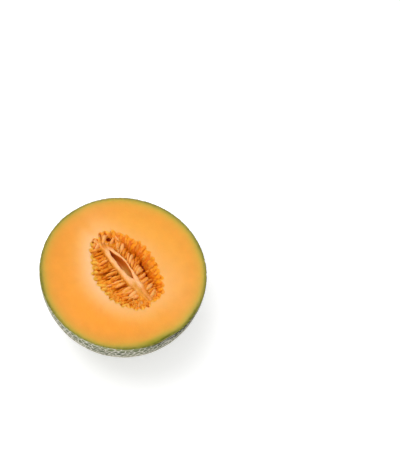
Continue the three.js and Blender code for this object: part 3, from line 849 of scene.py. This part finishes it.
def makeBand(paint):
    # A profile carried along the hollow: foot, flank, left lip, the slit's two sides and floor, right lip,
    # flank, foot. Where the slit is shut its sides meet in a shallow groove.
    y = np.linspace(band["stations"][0][0], band["stations"][-1][0], band["rows"])
    left, slitLeft, slitRight, right = bandEdges(y)
    opened = smoothStep(0.15, 2.6, slitRight - slitLeft)
    depth = mix(band["groove"], band["slitDepth"], opened)
    ends = smoothStep(36.0, 31.0, y) * smoothStep(-40.6, -37.0, y)
    fall = 2.6 * smoothStep(28.0, 36.0, y) + 1.1 * smoothStep(-22.0, -32.0, y) * smoothStep(-41.0, -36.0, y)
    crest = band["crest"] - fall - 0.35 * opened
    rightCrest = mix(band["crest"], band["rightCrest"], smoothStep(-18, -2, y)) - fall
    foot = mix(-3.0, band["foot"], ends)
    low = np.minimum(foot, -depth) - 1.5
    lipLeft, lipRight = (left + slitLeft) / 2, (right + slitRight) / 2
    edge = mix(0.7, 0.35, opened)
    fade = smoothStep(-11.0, -16.0, y) * smoothStep(-39.0, -34.0, y)  # a golden left half there
    # each entry: place across, height, how deep in the slit, how much of a flank
    profile = [
        (left - band["slope"], foot, 0, 1),
        (left - 0.7 * band["slope"], mix(crest, foot, 0.5), 0, 1),
        (left - 0.3 * band["slope"], crest - 2.0, 0, 1),
        (left + 0.3, crest - 0.5, 0, 0.6),
        (lipLeft, crest + 0.25, 0, fade),
        (slitLeft - edge, crest - 0.15, 0, 0.45 * fade),
        (slitLeft - 0.1, crest - 0.8 * opened - 0.2, 0.12, 0),
        (slitLeft + 0.05, crest - 0.35 * depth, 0.45, 0),
        (mix(slitLeft, slitRight, 0.16), crest - 0.8 * depth, 0.8, 0),
        (mix(slitLeft, slitRight, 0.42), crest - depth, 1, 0),
        (mix(slitLeft, slitRight, 0.7), crest - 0.95 * depth, 1, 0),
        (mix(slitLeft, slitRight, 0.93), crest - 0.6 * depth, 0.7, 0),
        (slitRight - 0.05, rightCrest - 0.25 * depth, 0.35, 0),
        (slitRight + 0.1, rightCrest - 0.7 * opened - 0.1, 0.1, 0),
        (slitRight + edge, rightCrest - 0.1, 0, 0),
        (lipRight, rightCrest + 0.25, 0, 0),
        (right - 0.3, rightCrest - 0.4, 0, 0.2),
        (right + 0.15, rightCrest - 1.8, 0, 0.7),
        (right + 0.8, mix(rightCrest, foot, 0.5), 0, 1),
        (right + 1.6, foot, 0, 1),
        (right, low, 0, 1),
        (left, low, 0, 1)]
    rings = np.stack([np.stack([np.broadcast_to(value, y.shape) for value in entry], axis=-1)
                      for entry in profile], axis=1).astype(float)
    rings = roundOff(rings, band["smoothing"])
    across, height = rings[..., 0], rings[..., 1]
    along = np.broadcast_to(y[:, None], across.shape)
    at = np.stack([across, along, height], axis=-1)
    fine = at * np.array([1.0, 0.3, 1.0])
    uneven = 0.16 * waves(at, 5.0, 61) + 0.09 * waves(fine, 1.6, 62)
    swing = 0.22 * waves(at, 9.0, 63)
    deep = np.clip(rings[..., 2], 0, 1) * opened[:, None]
    points = np.stack([across + swing + uneven, along + faceCentre[1], cutHeight + height + uneven],
                      axis=-1)
    points[0, :, 1] += 0.3
    caps = [points[0].mean(axis=0), points[-1].mean(axis=0)]
    allPoints = np.concatenate([points.reshape(-1, 3), caps])
    faces = [part[:, ::-1] for part in closedFaces(*across.shape)]
    ending = np.maximum(0.95 * smoothStep(23.0, 31.0, along),
                        0.9 * smoothStep(-17.0, -27.0, along + 3.0 * waves(at, 6.0, 64)))
    flank = np.clip(rings[..., 3], 0, 1)
    values = {"deep": np.append(deep.ravel(), [0, 0]), "flank": np.append(flank.ravel(), [1, 1]),
              "lower": np.append(smoothStep(13.0, 0.0, along).ravel(), [0, 1]),
              "ending": np.append(ending.ravel(), [1, 0])}
    makePiece("pale_band", "seed_mass", allPoints, faces, [paint], values)


# the pulp under the seeds

pulp = {
    "columns": 420, "rows": 90, "under": 0.5,
    "left": -2.9, "right": -5.2, "low": -4.0, "groove": -9.0, "ends": -3.4,  # heights over the cut
    # deep gaps between the left rows: x of the middle, y of the row line, half length, half width
    "slots": (
        (-4.9, 29.4, 3.5, 1.1), (-7.2, 26.2, 4.5, 1.2), (-9.9, 22.5, 4.0, 1.3), (-10.2, 16.4, 3.0, 1.2),
        (-9.9, 7.4, 7.0, 2.1), (-9.0, 1.6, 6.5, 1.9), (-8.5, -3.0, 4.5, 1.0), (-8.0, -10.9, 7.0, 2.0),
        (-15.6, -13.6, 2.6, 1.4), (-8.0, -17.5, 4.5, 1.0), (-8.0, -20.8, 5.0, 1.2), (-7.5, -24.2, 5.0, 1.1),
        (-7.0, -27.2, 5.0, 1.1), (-17.5, 12.0, 1.8, 1.2), (-17.0, 4.6, 1.8, 1.2),
        (-16.5, -5.0, 1.8, 1.2), (-16.0, 18.0, 1.8, 1.2)),
    "slotFloor": -7.0, "underSlit": -16.0,
    "tries": 120, "deepestTry": 0.7, "intoWall": 0.4,  # how the line where it meets the wall is found
}
# x, y, radius, height of the mouth, height of the floor
pits = ((7.6, 36.1, 1.9, -4.0, -6.8), (-5.4, 41.2, 1.1, -3.0, -5.0), (2.6, 43.6, 1.0, -3.0, -5.0),
        (18.9, 15.6, 1.7, -8.5, -10.6), (19.8, 21.2, 1.5, -8.5, -10.6), (22.3, 10.6, 1.6, -8.5, -10.6),
        (21.8, 1.2, 1.7, -8.5, -10.6), (20.4, -2.0, 1.4, -8.5, -10.6), (20.3, -5.4, 1.7, -8.5, -10.6),
        (19.3, -10.9, 1.5, -8.5, -10.6), (20.5, -13.8, 1.4, -8.5, -10.6))
pitWiden = 1.4  # how much wider than long a pit is
pitLean = (-0.365, -0.402)  # a pit stays open along a line that leans this much to a mm of height
seedRows = {
    "angle": 0.13, "leftX": -9.0,  # the rows' slope, and where the heights of the left rows hold
    "left": (31.8, 28.0, 24.2, 20.6, 18.0, 14.2, 10.2, 4.5, -1.1, -4.6, -8.3, -13.4, -16.0, -19.0, -22.7,
             -25.7, -28.6),
    "rightX": 13.4,
    "right": (26.5, 18.4, 14.6, 11.4, 8.4, 4.4, 0.6, -2.3, -5.6, -11.0, -15.2, -18.8, -23.6, -27.2, -31.2),
    "bridgeX": 19.2,
    "bridges": (27.4, 24.4, 18.4, 13.1, 7.6, 4.4, -0.4, -3.7, -8.2, -12.4, -17.0, -20.5, -24.5),
}


def wallShare(angle, radius):
    # The share of the hollow's depth at which its wall stands a radius away from the middle, by halving.
    low, high = np.zeros_like(radius), np.ones_like(radius)
    for _ in range(24):
        middle = (low + high) / 2
        outside = hollowRadius(angle, middle) > radius
        low, high = np.where(outside, middle, low), np.where(outside, high, middle)
    return (low + high) / 2


def pitShares(x, y):
    # For each pit 1 at its middle, falling to 0 round it.
    away = [(((x - pit[0]) / pitWiden) ** 2 + (y - pit[1]) ** 2) / pit[2] ** 2 for pit in pits]
    return [np.exp(-each**1.5) for each in away]


def beforePits(points):
    # How far points are from the leaning lines on which the pits stay open, less each pit's radius.
    nearest = np.full(points.shape[:-1], 99.0)
    for x, y, radius, mouth, _ in pits:
        lift = np.maximum(0.0, points[..., 2] - cutHeight - mouth)
        across = (points[..., 0] - x - pitLean[0] * lift) / pitWiden
        away = np.hypot(across, points[..., 1] - y - pitLean[1] * lift)
        nearest = np.minimum(nearest, away - radius)
    return nearest


def pulpHeight(x, y):
    # Height over the cut: low in both lobes with ridges along the seed rows, lowest along the right wall's
    # foot and under the slit, higher at both ends, with soft lumps all over.
    left, _, _, right = bandEdges(y - faceCentre[1])
    toRight = smoothStep(0, 3, x - right)
    beside = mix(pulp["right"], pulp["low"], smoothStep(-12, -19, y))
    lobe = mix(pulp["left"], mix(beside, pulp["groove"], smoothStep(4, 11, x - right)), toRight)
    atEnds = np.maximum(smoothStep(27, 38, y), smoothStep(-29, -37, y) * smoothStep(14, 4, x))
    lobe = mix(lobe, pulp["ends"], atEnds)
    row = y - (seedRows["leftX"] - x) * math.tan(seedRows["angle"])
    aside = np.abs(row[..., None] - np.array(seedRows["left"])).min(axis=-1)
    ridges = (1.3 * np.exp(-(aside / 1.1) ** 2) - 0.6) * smoothStep(0, -3, x - left)
    at = np.stack([x, y], axis=-1)
    lobe = lobe + ridges + 0.9 * waves(at, 7.0, 51) + 0.5 * waves(at, 2.4, 52)
    inSlit = smoothStep(-1.5, 0.5, x - left) * smoothStep(1.5, -0.5, x - right)
    inSlit = inSlit * smoothStep(30, 24, y) * smoothStep(-14, -8, y)
    for slotX, slotY, halfLength, halfWidth in pulp["slots"]:
        away = ((x - slotX) / halfLength) ** 2 + ((row - slotY) / halfWidth) ** 2
        lobe = mix(lobe, pulp["slotFloor"], np.exp(-away**1.5))
    for share, pit in zip(pitShares(x, y), pits):
        lobe = mix(lobe, pit[4], share)
    return mix(lobe, pulp["underSlit"], inSlit)


def makePulp(paint):
    # Rings that shrink from where the pulp meets the wall to the hollow's middle, and the same rings below,
    # laid against the wall.
    angles = np.linspace(0, 2 * math.pi, pulp["columns"], endpoint=False)
    depths = np.linspace(0, pulp["deepestTry"], pulp["tries"])[:, None]
    tryRadius = hollowRadius(angles[None], depths)
    covered = -hollow["depth"] * depths < pulpHeight(*roundHollow(angles, tryRadius))
    outer = np.take_along_axis(tryRadius, np.argmax(covered, axis=0)[None], axis=0)[0]
    outer = outer + pulp["intoWall"]
    shares = np.linspace(1, 0, pulp["rows"], endpoint=False)[:, None]
    radius = outer * shares
    x, y = roundHollow(angles, radius)
    height = pulpHeight(x, y)
    wall = -hollow["depth"] * wallShare(np.broadcast_to(angles, radius.shape), radius)
    base = np.minimum(wall, height) - pulp["under"]
    top = np.stack([x, y, cutHeight + height], axis=-1)
    below = np.stack([x, y, cutHeight + base], axis=-1)
    middle = np.array([hollow["centreX"], hollow["centreY"]])
    centreTop = [*middle, cutHeight + float(pulpHeight(middle[:1], middle[1:])[0])]
    centreLow = [*middle, cutHeight - hollow["depth"] - pulp["under"]]
    points = np.concatenate([below[::-1].reshape(-1, 3), top.reshape(-1, 3), [centreLow], [centreTop]])
    faces = closedFaces(2 * pulp["rows"], pulp["columns"])
    # painted shade: a lower level where the pulp lies lower, lower still in the left gaps, and dark in the
    # pits
    gapShade = 0.28 * smoothStep(0.0, -6.0, x) * smoothStep(-3.2, -6.0, height)  # in the gaps on the left
    level = np.clip((height + 13) / 10 - gapShade, 0, 1)
    level = level * (1 - np.clip(2.2 * np.max(pitShares(x, y), axis=0), 0, 1))
    values = np.concatenate([np.zeros(level.size), level.ravel(), [0], [0.3]])
    makePiece("pulp", "seed_mass", points, faces, [paint], {"height": values})


# pouches of skin that hold the seeds, running in from the teeth of the hollow's edge

pouches = {
    "reach": 10.0, "halfWidth": 2.4, "endWidth": 1.2, "halfHeight": 2.4, "along": 14, "around": 12,
    "leftCrest": 0.3, "leftFall": 3.4, "rightHeight": 1.15, "rightLevel": -9.6, "lift": -0.55, "olive": 0.7,
    "buried": 2.4, "clear": 0.8, "shortest": 3.0,  # how far in the flesh, and how far from a pit
    "paintedShadeBelow": 0.6,
}


def tubes(paths, halfWidth, halfHeight, around):
    # Closed tubes along paths (tube, step, xyz): an ellipse across each path, as wide and as high as given
    # at each step, and a point at both ends.
    ahead = np.gradient(paths, axis=1)
    side = unit(np.stack([-ahead[..., 1], ahead[..., 0], 0 * ahead[..., 0]], axis=-1), 1e-9)
    above = unit(np.cross(ahead, side), 1e-9)
    turn = np.linspace(0, 2 * math.pi, around, endpoint=False)
    rings = (paths[:, :, None] + side[:, :, None] * (halfWidth[..., None] * np.cos(turn))[..., None]
             + above[:, :, None] * (halfHeight[..., None] * np.sin(turn))[..., None])
    count, steps = paths.shape[:2]
    body = rings.reshape(count, steps * around, 3)
    points = np.concatenate([body, paths[:, :1], paths[:, -1:]], axis=1)
    quads, ends = (repeated(part, count, steps * around + 2) for part in closedFaces(steps, around))
    crest = np.broadcast_to(np.sin(turn), (count, steps, around)).reshape(count, -1)
    crest = np.concatenate([crest, np.zeros((count, 2))], axis=1)
    return points.reshape(-1, 3), quads, ends, crest.ravel()


def pouchPaths(layer, rng):
    # One path for each tooth: from the tooth's tip inwards, turned towards the seed rows, level on the left
    # and lying on the sloping wall on the right. Layers below the first lie between the teeth.
    teeth = hollow["teeth"]
    tooth = np.arange(teeth) + 0.5 + 0.5 * (layer % 2)
    loose = rng.normal(0, 0.2, teeth) * (np.cos(tooth / teeth * 2 * math.pi) > 0.1)
    angle = angleOfTooth(tooth + loose)
    tip = hollowPoints(angle, np.zeros(teeth), 0.5 * layer)
    onRight = smoothStep(-0.2, 0.55, np.cos(angle))
    atEnd = smoothStep(0.75, 0.97, np.abs(np.sin(angle)))
    radial = -np.stack([np.cos(angle), np.sin(angle)], axis=-1)
    slope = np.full(teeth, -math.tan(seedRows["angle"]))
    rowwise = np.stack([np.where(np.cos(angle) < 0, 1.0, -1.0), slope], axis=-1)
    heading = mix(radial, rowwise, (0.62 * (1 - atEnd))[:, None])
    heading = unit(heading)
    heading = heading + leftOf(heading) * rng.normal(0, 0.16, teeth)[:, None]
    t = np.linspace(0, 1, pouches["along"])
    reach = pouches["reach"] * rng.uniform(0.7, 1.15, teeth) * (1 - 0.35 * atEnd) * (1 - 0.1 * onRight)
    flat = tip[:, None, :2] + heading[:, None] * (reach[:, None] * t)[..., None]
    level = np.full(flat.shape[:2] + (1,), cutHeight + pits[-1][3])
    clear = beforePits(np.concatenate([flat, level], axis=-1)) > pouches["clear"]
    free = np.where(clear.all(axis=1), 1.0, t[np.argmin(clear, axis=1)])
    span = (reach * free + pouches["buried"])[:, None] * t - pouches["buried"]
    flat = tip[:, None, :2] + heading[:, None] * span[..., None]
    bend = rng.normal(0, 0.7, (teeth, 1)) * np.sin(math.pi * t)
    flat = flat + leftOf(heading)[:, None] * bend[..., None]
    fromMiddle = flat - np.array([hollow["centreX"], hollow["centreY"]])
    around = np.arctan2(fromMiddle[..., 1], fromMiddle[..., 0])
    wall = -hollow["depth"] * wallShare(around, np.hypot(fromMiddle[..., 0], fromMiddle[..., 1]))
    leftHeight = (pouches["leftCrest"] - pouches["halfHeight"] - pouches["leftFall"] * t**1.5
                  + rng.normal(0, 0.35, (teeth, 1)) - 2.3 * layer)
    onWall = wall + pouches["lift"] + rng.uniform(-0.5, 0.25, (teeth, 1))
    lowest = pouches["rightLevel"] - 2.0 * layer + rng.normal(0, 0.6, (teeth, 1))
    rightHeight = np.maximum(onWall, lowest) - 0.6 * layer
    height = mix(leftHeight, rightHeight, onRight[:, None])
    height = np.maximum(height, wall - 1.0)
    width = mix(pouches["halfWidth"], pouches["endWidth"], t) * rng.uniform(0.85, 1.15, (teeth, 1))
    width = width * mix(1.0, rng.uniform(1.05, 1.5, (teeth, 1)), onRight[:, None])
    rounded = np.sqrt(np.maximum(0.02, 1 - np.abs(2 * t - 1) ** 2.6))
    tall = mix(pouches["halfHeight"], pouches["rightHeight"], onRight)[:, None] * mix(1.0, 0.75, t)
    paths = np.concatenate([flat, cutHeight + height[..., None]], axis=-1)
    kept = reach * free > pouches["shortest"]
    return paths[kept], (width * rounded)[kept], (tall * rounded)[kept], t, onRight[kept]


def makePouches(paint):
    # A tube on each path of both layers, moved a little by shifts, with its colours as values.
    rng = np.random.default_rng(71)
    allPoints, quads, ends, tips, goldens, shades, crests, start = [], [], [], [], [], [], [], 0
    for layer in (0, 1):
        paths, width, tall, t, onRight = pouchPaths(layer, rng)
        points, quad, end, crest = tubes(paths, width, tall, pouches["around"])
        count, each = len(paths), pouches["along"] * pouches["around"]
        along = np.repeat(t, pouches["around"])
        along = np.broadcast_to(np.concatenate([along, [0, 1]]), (count, each + 2))
        olive = (rng.uniform(0, 1, (count, 1)) < pouches["olive"]) * rng.uniform(0.2, 0.8, (count, 1))
        higher = smoothStep(-38.0, -27.0, paths[:, :1, 1])
        # painted shade under the upper layer: the lower layer's pouches are duller, and its crests darker
        # below
        unshadedShare = 1 - pouches["paintedShadeBelow"] * layer  # pouches of the lower layer are duller
        olive = olive * unshadedShare * (1 - 0.7 * onRight[:, None])
        tips.append((olive * higher * smoothStep(0.36, 0.1, along)).ravel())
        golden = unshadedShare * (1 - onRight[:, None]) * mix(0.7, 1.3, higher)
        goldens.append((golden * smoothStep(1.0, 0.4, along)).ravel())
        shades.append((along + rng.normal(0, 0.15, (count, 1))).ravel())
        left = 1 - np.repeat(onRight, each + 2)
        shift = rng.normal(0, 0.3, count)
        # painted light by the crest on top, a random tone for each pouch, and painted shade on the lower
        # layer's crests
        crests.append(crest + np.repeat(shift, each + 2) + mix(0.25, -0.45, layer) * left)
        uneven, finer = shifts(points, 3.2, 72), shifts(points, 1.7, 75)
        rough = mix(0.34, 0.1, left)[:, None]
        allPoints.append(points + uneven * mix(0.42, 0.28, left)[:, None] + rough * finer)
        quads.append(quad + start)
        ends.append(end + start)
        start += len(points)
    points = np.concatenate(allPoints)
    points[:, 2] = np.minimum(points[:, 2], cutHeight - 0.1)
    values = {"tip": np.concatenate(tips), "golden": np.concatenate(goldens),
              "inner": np.concatenate(shades), "crest": np.concatenate(crests)}
    faces = [np.concatenate(quads), np.concatenate(ends)]
    makePiece("seed_pouches", "seed_mass", points, faces, [paint], values)


# the seeds

seeds = {
    "length": 11.4, "width": 4.7, "thickness": 2.7, "around": 8, "along": 7, "blunt": 0.3,
    "scattered": 44,  # at both ends
    # seeds that stand out: x, y, height of the middle, heading, roll, film
    "noticed": (
        (13.2, 22.4, -4.2, 0.85, 0.45, 0.0), (10.8, 26.6, -4.4, 0.9, 1.0, 0.15),
        (-4.4, 39.8, -2.9, 1.9, 0.5, 0.0), (-7.6, 36.6, -3.1, 0.6, 0.9, 0.25),
        (-1.9, 36.0, -2.8, 1.3, 0.7, 0.3), (4.4, 40.6, -3.0, 1.2, 0.5, 0.0),
        (-4.2, -22.9, -2.4, 0.15, 0.8, 0.0), (-5.2, -25.6, -2.9, -0.1, 0.9, 0.05),
        (12.4, -23.8, -3.4, 0.3, 0.8, 0.05), (-6.2, -16.0, -2.3, -0.1, 1.1, 0.1),
        (-6.0, -18.9, -2.5, -0.1, 1.0, 0.2), (11.6, -16.4, -3.2, 0.2, 0.8, 0.2),
        (11.6, -31.4, -3.2, 0.6, 0.6, 0.1), (13.6, 8.4, -3.9, 0.75, 0.9, 0.0),
        (13.0, -5.0, -3.9, 0.5, 0.5, 0.15), (16.2, 33.0, -5.2, 1.1, 1.0, 0.4),
        (12.9, 31.4, -5.6, 0.9, 1.1, 0.4), (-6.2, 34.2, -2.6, 0.5, 0.9, 0.0),
        (-2.0, 41.4, -2.6, 0.5, 0.7, 0.0), (3.4, 37.8, -3.0, 0.8, 0.8, 0.05)),
}


def seedShapes(centres, headings, tilts, rolls, sizes):
    # Teardrops: an ellipse across, whose half width follows half a circle along the seed, fuller towards
    # the outer end. Each is rolled about its length, tilted, turned to its heading and put in place.
    steps = -np.cos(math.pi * (np.arange(seeds["along"]) + 0.6) / (seeds["along"] + 0.2))
    full = np.sqrt(1 - steps**2) * (1 + seeds["blunt"] * steps) ** 0.7
    turn = np.linspace(0, 2 * math.pi, seeds["around"], endpoint=False)
    across = np.sign(np.cos(turn)) * np.abs(np.cos(turn)) ** 0.9
    shape = np.stack([np.repeat(steps, seeds["around"]), np.outer(full, across).ravel(),
                      np.outer(full, np.sin(turn)).ravel()], axis=-1)
    shape = np.concatenate([shape, [[-1.0, 0, 0], [1.0, 0, 0]]])
    local = shape[None] * sizes[:, None] / 2
    x, y, z = local[..., 0], local[..., 1], local[..., 2]
    y, z = rotated(y, z, rolls)
    x, z = rotated(x, z, tilts)
    x, y = rotated(x, y, headings)
    points = np.stack([x, y, z], axis=-1) + centres[:, None]
    each = len(shape)
    one = closedFaces(seeds["along"], seeds["around"])
    quads, ends = (repeated(part, len(centres), each) for part in one)
    flat = np.broadcast_to(1 - np.hypot(shape[:, 0], shape[:, 1] * 0.8), (len(centres), each))
    return points.reshape(-1, 3), quads, ends, flat


def seedPlaces():
    # On the left a seed on edge in each row, more below it and behind it; on the right slanting seeds,
    # flatter in the lower part, more below them and some that bridge the groove; the seeds that stand out;
    # and scattered ones at both ends. Each entry: place, heading, tilt, roll, film, size, looseness.
    rng = np.random.default_rng(81)
    found = []
    inwards = math.pi - seedRows["angle"]

    def add(x, y, height, heading, tilt, roll, film, size, loose=1.0):
        shift = rng.normal(0, 0.25, 3) * loose
        found.append((x + shift[0], y + shift[1], height + shift[2], heading + rng.normal(0, 0.07) * loose,
                      tilt + rng.normal(0, 0.06) * loose, roll + rng.normal(0, 0.15) * loose,
                      film + rng.normal(0, 0.14) * loose, size, loose))

    for y in seedRows["left"]:
        aside, size = rng.uniform(-1.4, 0.6), rng.uniform(0.94, 1.1)
        add(seedRows["leftX"] + aside, y, -3.1, inwards, -0.03, 1.2, 0.42, size, 1.5)
        add(seedRows["leftX"] + 1.0, y - 0.6, -5.4, inwards, 0.0, 1.45, 0.85, 1.05)
        behind = y + 0.9 + rng.uniform(-0.9, 0.9)
        add(seedRows["leftX"] - 6.5, behind, -4.8, inwards, 0.05, 1.3, 0.7, 0.8, 2.2)
        add(seedRows["leftX"] - 11.0, y + 1.8 + rng.uniform(-1, 1), -6.0, inwards, 0.0, 1.4, 0.85, 0.9, 2.0)
    for y in seedRows["right"]:
        heading = mix(0.14, 0.78, float(smoothStep(-9, 5, y)))
        add(seedRows["rightX"] - 1.0, y - 0.4, -4.4, heading, -0.05, 1.25, 0.3, 0.9)
        add(seedRows["rightX"] + 0.5, y + rng.uniform(-1, 1), -7.6, heading, 0.0, 1.4, 0.9, 1.0, 1.6)
        add(seedRows["rightX"] + 3.8, y + 2.0, -6.6, heading, -0.15, 1.2, 0.55, 0.8, 1.6)
    for y in seedRows["bridges"]:
        add(seedRows["bridgeX"], y, -8.3, 0.2, 0.1, 1.2, 0.75, 0.72, 0.8)
    for x, y, height, heading, roll, film in seeds["noticed"]:
        add(x, y, height, heading, 0.0, roll, film, 0.92, 0.0)
    for _ in range(seeds["scattered"]):
        x, y = rng.uniform(-10, 16), rng.choice([rng.uniform(31, 42), rng.uniform(-38, -29)])
        heading, roll = rng.uniform(0, math.pi), rng.uniform(0.3, 1.4)
        add(x, y, -4.6, heading, 0.0, roll, 0.6 if y < 0 else 0.2, 0.75, 2.0)
    return np.array(found)


def makeSeeds(paint):
    # A seed at each place that leaves the pits free, moved a little by shifts.
    places = seedPlaces()
    rng = np.random.default_rng(82)
    centres = places[:, :3] + np.array([0.0, 0.0, cutHeight])
    sizes = np.array([seeds["length"], seeds["width"], seeds["thickness"]]) * places[:, 7:8]
    sizes = sizes * rng.uniform(0.88, 1.1, sizes.shape)
    points, quads, ends, flat = seedShapes(centres, places[:, 3], places[:, 4], places[:, 5], sizes)
    each = flat.shape[1]
    clear = beforePits(points.reshape(-1, each, 3)).min(axis=1) > -0.8
    kept = np.nonzero(clear | (places[:, 8] == 0))[0]
    points = points.reshape(-1, each, 3)[kept].reshape(-1, 3)
    quads = quads[:len(kept) * (len(quads) // len(places))]
    ends = ends[:len(kept) * (len(ends) // len(places))]
    points = points + 0.26 * shifts(points, 3.0, 83) + 0.1 * shifts(points, 1.5, 86)
    points[:, 2] = np.minimum(points[:, 2], cutHeight - 0.3)
    film = places[kept, 6:7] + 0.3 * (0.5 - flat[kept])
    values = {"film": np.clip(film, 0, 1).ravel()}
    makePiece("seeds", "seed_mass", points, [quads, ends], [paint], values)


# threads of pulp between seeds, pouches and band

threads = {"count": 150, "along": 9, "around": 6, "thickness": 0.36, "length": 7.0, "fall": 2.4,
           "onLeft": 0.25}  # share of them in the left lobe


def makeThreads(paint):
    # Arcs near the rows' direction, whose ends go down into the pulp: a straight line plus a parabola.
    rng = np.random.default_rng(91)
    count = threads["count"]
    y = rng.uniform(-34, 34, count)
    left, _, _, right = bandEdges(y)
    onLeft = rng.uniform(0, 1, count) < threads["onLeft"]
    out = rng.uniform(1.5, 17, count)
    x = np.where(onLeft, left - out, right + 0.7 * out)
    height = np.where(onLeft, -2.2 - 0.05 * out, -3.0 - 0.36 * out) + rng.normal(0, 0.5, count)
    slant = np.where(onLeft, math.pi - seedRows["angle"], mix(0.14, 0.8, smoothStep(-12, 2, y)))
    heading = slant + rng.normal(0, 0.24, count)
    t = np.linspace(-0.5, 0.5, threads["along"])
    length = threads["length"] * rng.uniform(0.5, 1.2, count)
    ahead = np.stack([np.cos(heading), np.sin(heading), rng.normal(0, 0.12, count)], axis=-1)
    middle = np.stack([x, y + faceCentre[1], cutHeight + height], axis=-1)
    paths = middle[:, None] + ahead[:, None] * (length[:, None] * t)[..., None]
    paths[..., 2] -= threads["fall"] * rng.uniform(0.6, 1.4, (count, 1)) * (2 * t) ** 2
    paths[..., 1] += rng.normal(0, 0.5, (count, 1)) * np.cos(math.pi * t)
    turn = np.arctan2(paths[..., 1], paths[..., 0] - hollow["centreX"])
    inside = hollowRadius(turn, np.full(turn.shape, 0.05))
    reach = np.hypot(paths[..., 0] - hollow["centreX"], paths[..., 1] - hollow["centreY"])
    paths = paths[((reach < inside - 1.0) & (beforePits(paths) > 0)).all(axis=1)]
    thick = threads["thickness"] * rng.uniform(0.6, 1.5, (len(paths), 1))
    thick = thick * (1 + 0.25 * np.cos(2 * math.pi * t))
    points, quads, ends, _ = tubes(paths, thick, thick, threads["around"])
    points[:, 2] = np.minimum(points[:, 2], cutHeight - 0.3)
    makePiece("pulp_threads", "seed_mass", points, [quads, ends], [paint],
              {"film": 0.45 + 0.2 * waves(points, 9.0, 92)})


print("frame loaded, sizes read")

fleshPaint = fleshMaterial()
rindPaint = rindMaterial()
pulpPaint = pulpMaterial()
bandPaint = bandMaterial()
pouchPaint = pouchMaterial()
seedPaint = seedMaterial()

makeRind(rindPaint, fleshPaint)
print("rind made")
makeFlesh(fleshPaint)
print("flesh made")
makePulp(pulpPaint)
print("pulp made")
makeBand(bandPaint)
print("band made")
makePouches(pouchPaint)
makeSeeds(seedPaint)
makeThreads(seedPaint)
print("pouches, seeds and threads made")


# floor, light and camera

def makeFloor():
    # A level square of 6 m, as high as the resting spot.
    size = 3.0
    mesh = bpy.data.meshes.new("floor")
    corners = [(-size, -size, 0), (size, -size, 0), (size, size, 0), (-size, size, 0)]
    mesh.from_pydata(corners, [], [(0, 1, 2, 3)])
    mesh.materials.append(floorMaterial())
    floor = bpy.data.objects.new("floor", mesh)
    bpy.context.scene.collection.objects.link(floor)


# places and sizes in m, powers in W
lights = {
    "over": {"place": (-0.2, 0.3, 1.1), "size": 0.9, "power": 5.35},
    "left": {"place": (-1.0, -0.4, 0.6), "size": 0.9, "power": 3.2},
    "back": {"place": (0.3, 1.1, 0.6), "size": 0.9, "power": 2.0},
    "front": {"place": (-0.75, -0.95, 0.35), "size": 0.8, "power": 3.3},
}


worldStrength = 0.54


def makeLights():
    # A round lamp at each place, turned to a point just under the cut face, and an even white world.
    for name, light in lights.items():
        data = bpy.data.lights.new(name, "AREA")
        data.shape = "DISK"
        data.size = light["size"]
        data.energy = light["power"]
        lamp = bpy.data.objects.new(name, data)
        lamp.location = light["place"]
        towards = Vector((0, 0, 0.05)) - Vector(light["place"])
        lamp.rotation_euler = towards.to_track_quat("-Z", "Y").to_euler()
        bpy.context.scene.collection.objects.link(lamp)
    world = bpy.data.worlds.new("studio")
    world.use_nodes = True
    background = world.node_tree.nodes["Background"]
    background.inputs["Color"].default_value = (1.0, 1.0, 1.0, 1.0)
    background.inputs["Strength"].default_value = worldStrength
    bpy.context.scene.world = world


camera = {
    "azimuth": -42.2, "elevation": 61.5, "roll": 9.9,  # degrees
    "distance": 1500.0, "pixelsPerMm": 1.1167, "sensor": 36.0,
    "frameWidth": 400, "frameHeight": 457, "faceX": 123.2, "faceY": 271.8,  # where the cut's middle stands
}


def makeCamera():
    # The camera looks back along its direction from far away, so that the cut's middle and its scale fall
    # where the photo has them: a mm is as many pixels wide as the lens over the distance gives.
    azimuth, elevation, roll = (math.radians(camera[key]) for key in ("azimuth", "elevation", "roll"))
    back = Vector((math.sin(azimuth) * math.cos(elevation), -math.cos(azimuth) * math.cos(elevation),
                   math.sin(elevation)))
    level = Vector((math.cos(azimuth), math.sin(azimuth), 0))
    upright = back.cross(level)
    right = level * math.cos(roll) + upright * math.sin(roll)
    up = upright * math.cos(roll) - level * math.sin(roll)
    offRight = (camera["faceX"] - camera["frameWidth"] / 2) / camera["pixelsPerMm"]
    offUp = (camera["frameHeight"] / 2 - camera["faceY"]) / camera["pixelsPerMm"]
    middle = Vector((faceCentre[0], faceCentre[1], cutHeight))
    aim = middle - right * offRight - up * offUp
    data = bpy.data.cameras.new("camera")
    data.sensor_width = camera["sensor"]
    data.lens = camera["pixelsPerMm"] * camera["sensor"] * camera["distance"] / camera["frameHeight"]
    data.clip_end = 20.0
    eye = bpy.data.objects.new("camera", data)
    turned = Matrix((right, up, back)).transposed().to_4x4()
    eye.matrix_world = Matrix.Translation((aim + back * camera["distance"]) * mm) @ turned
    bpy.context.scene.collection.objects.link(eye)
    bpy.context.scene.camera = eye


makeFloor()
makeLights()
makeCamera()
bpy.context.scene.view_settings.view_transform = "Standard"

print("stage set")
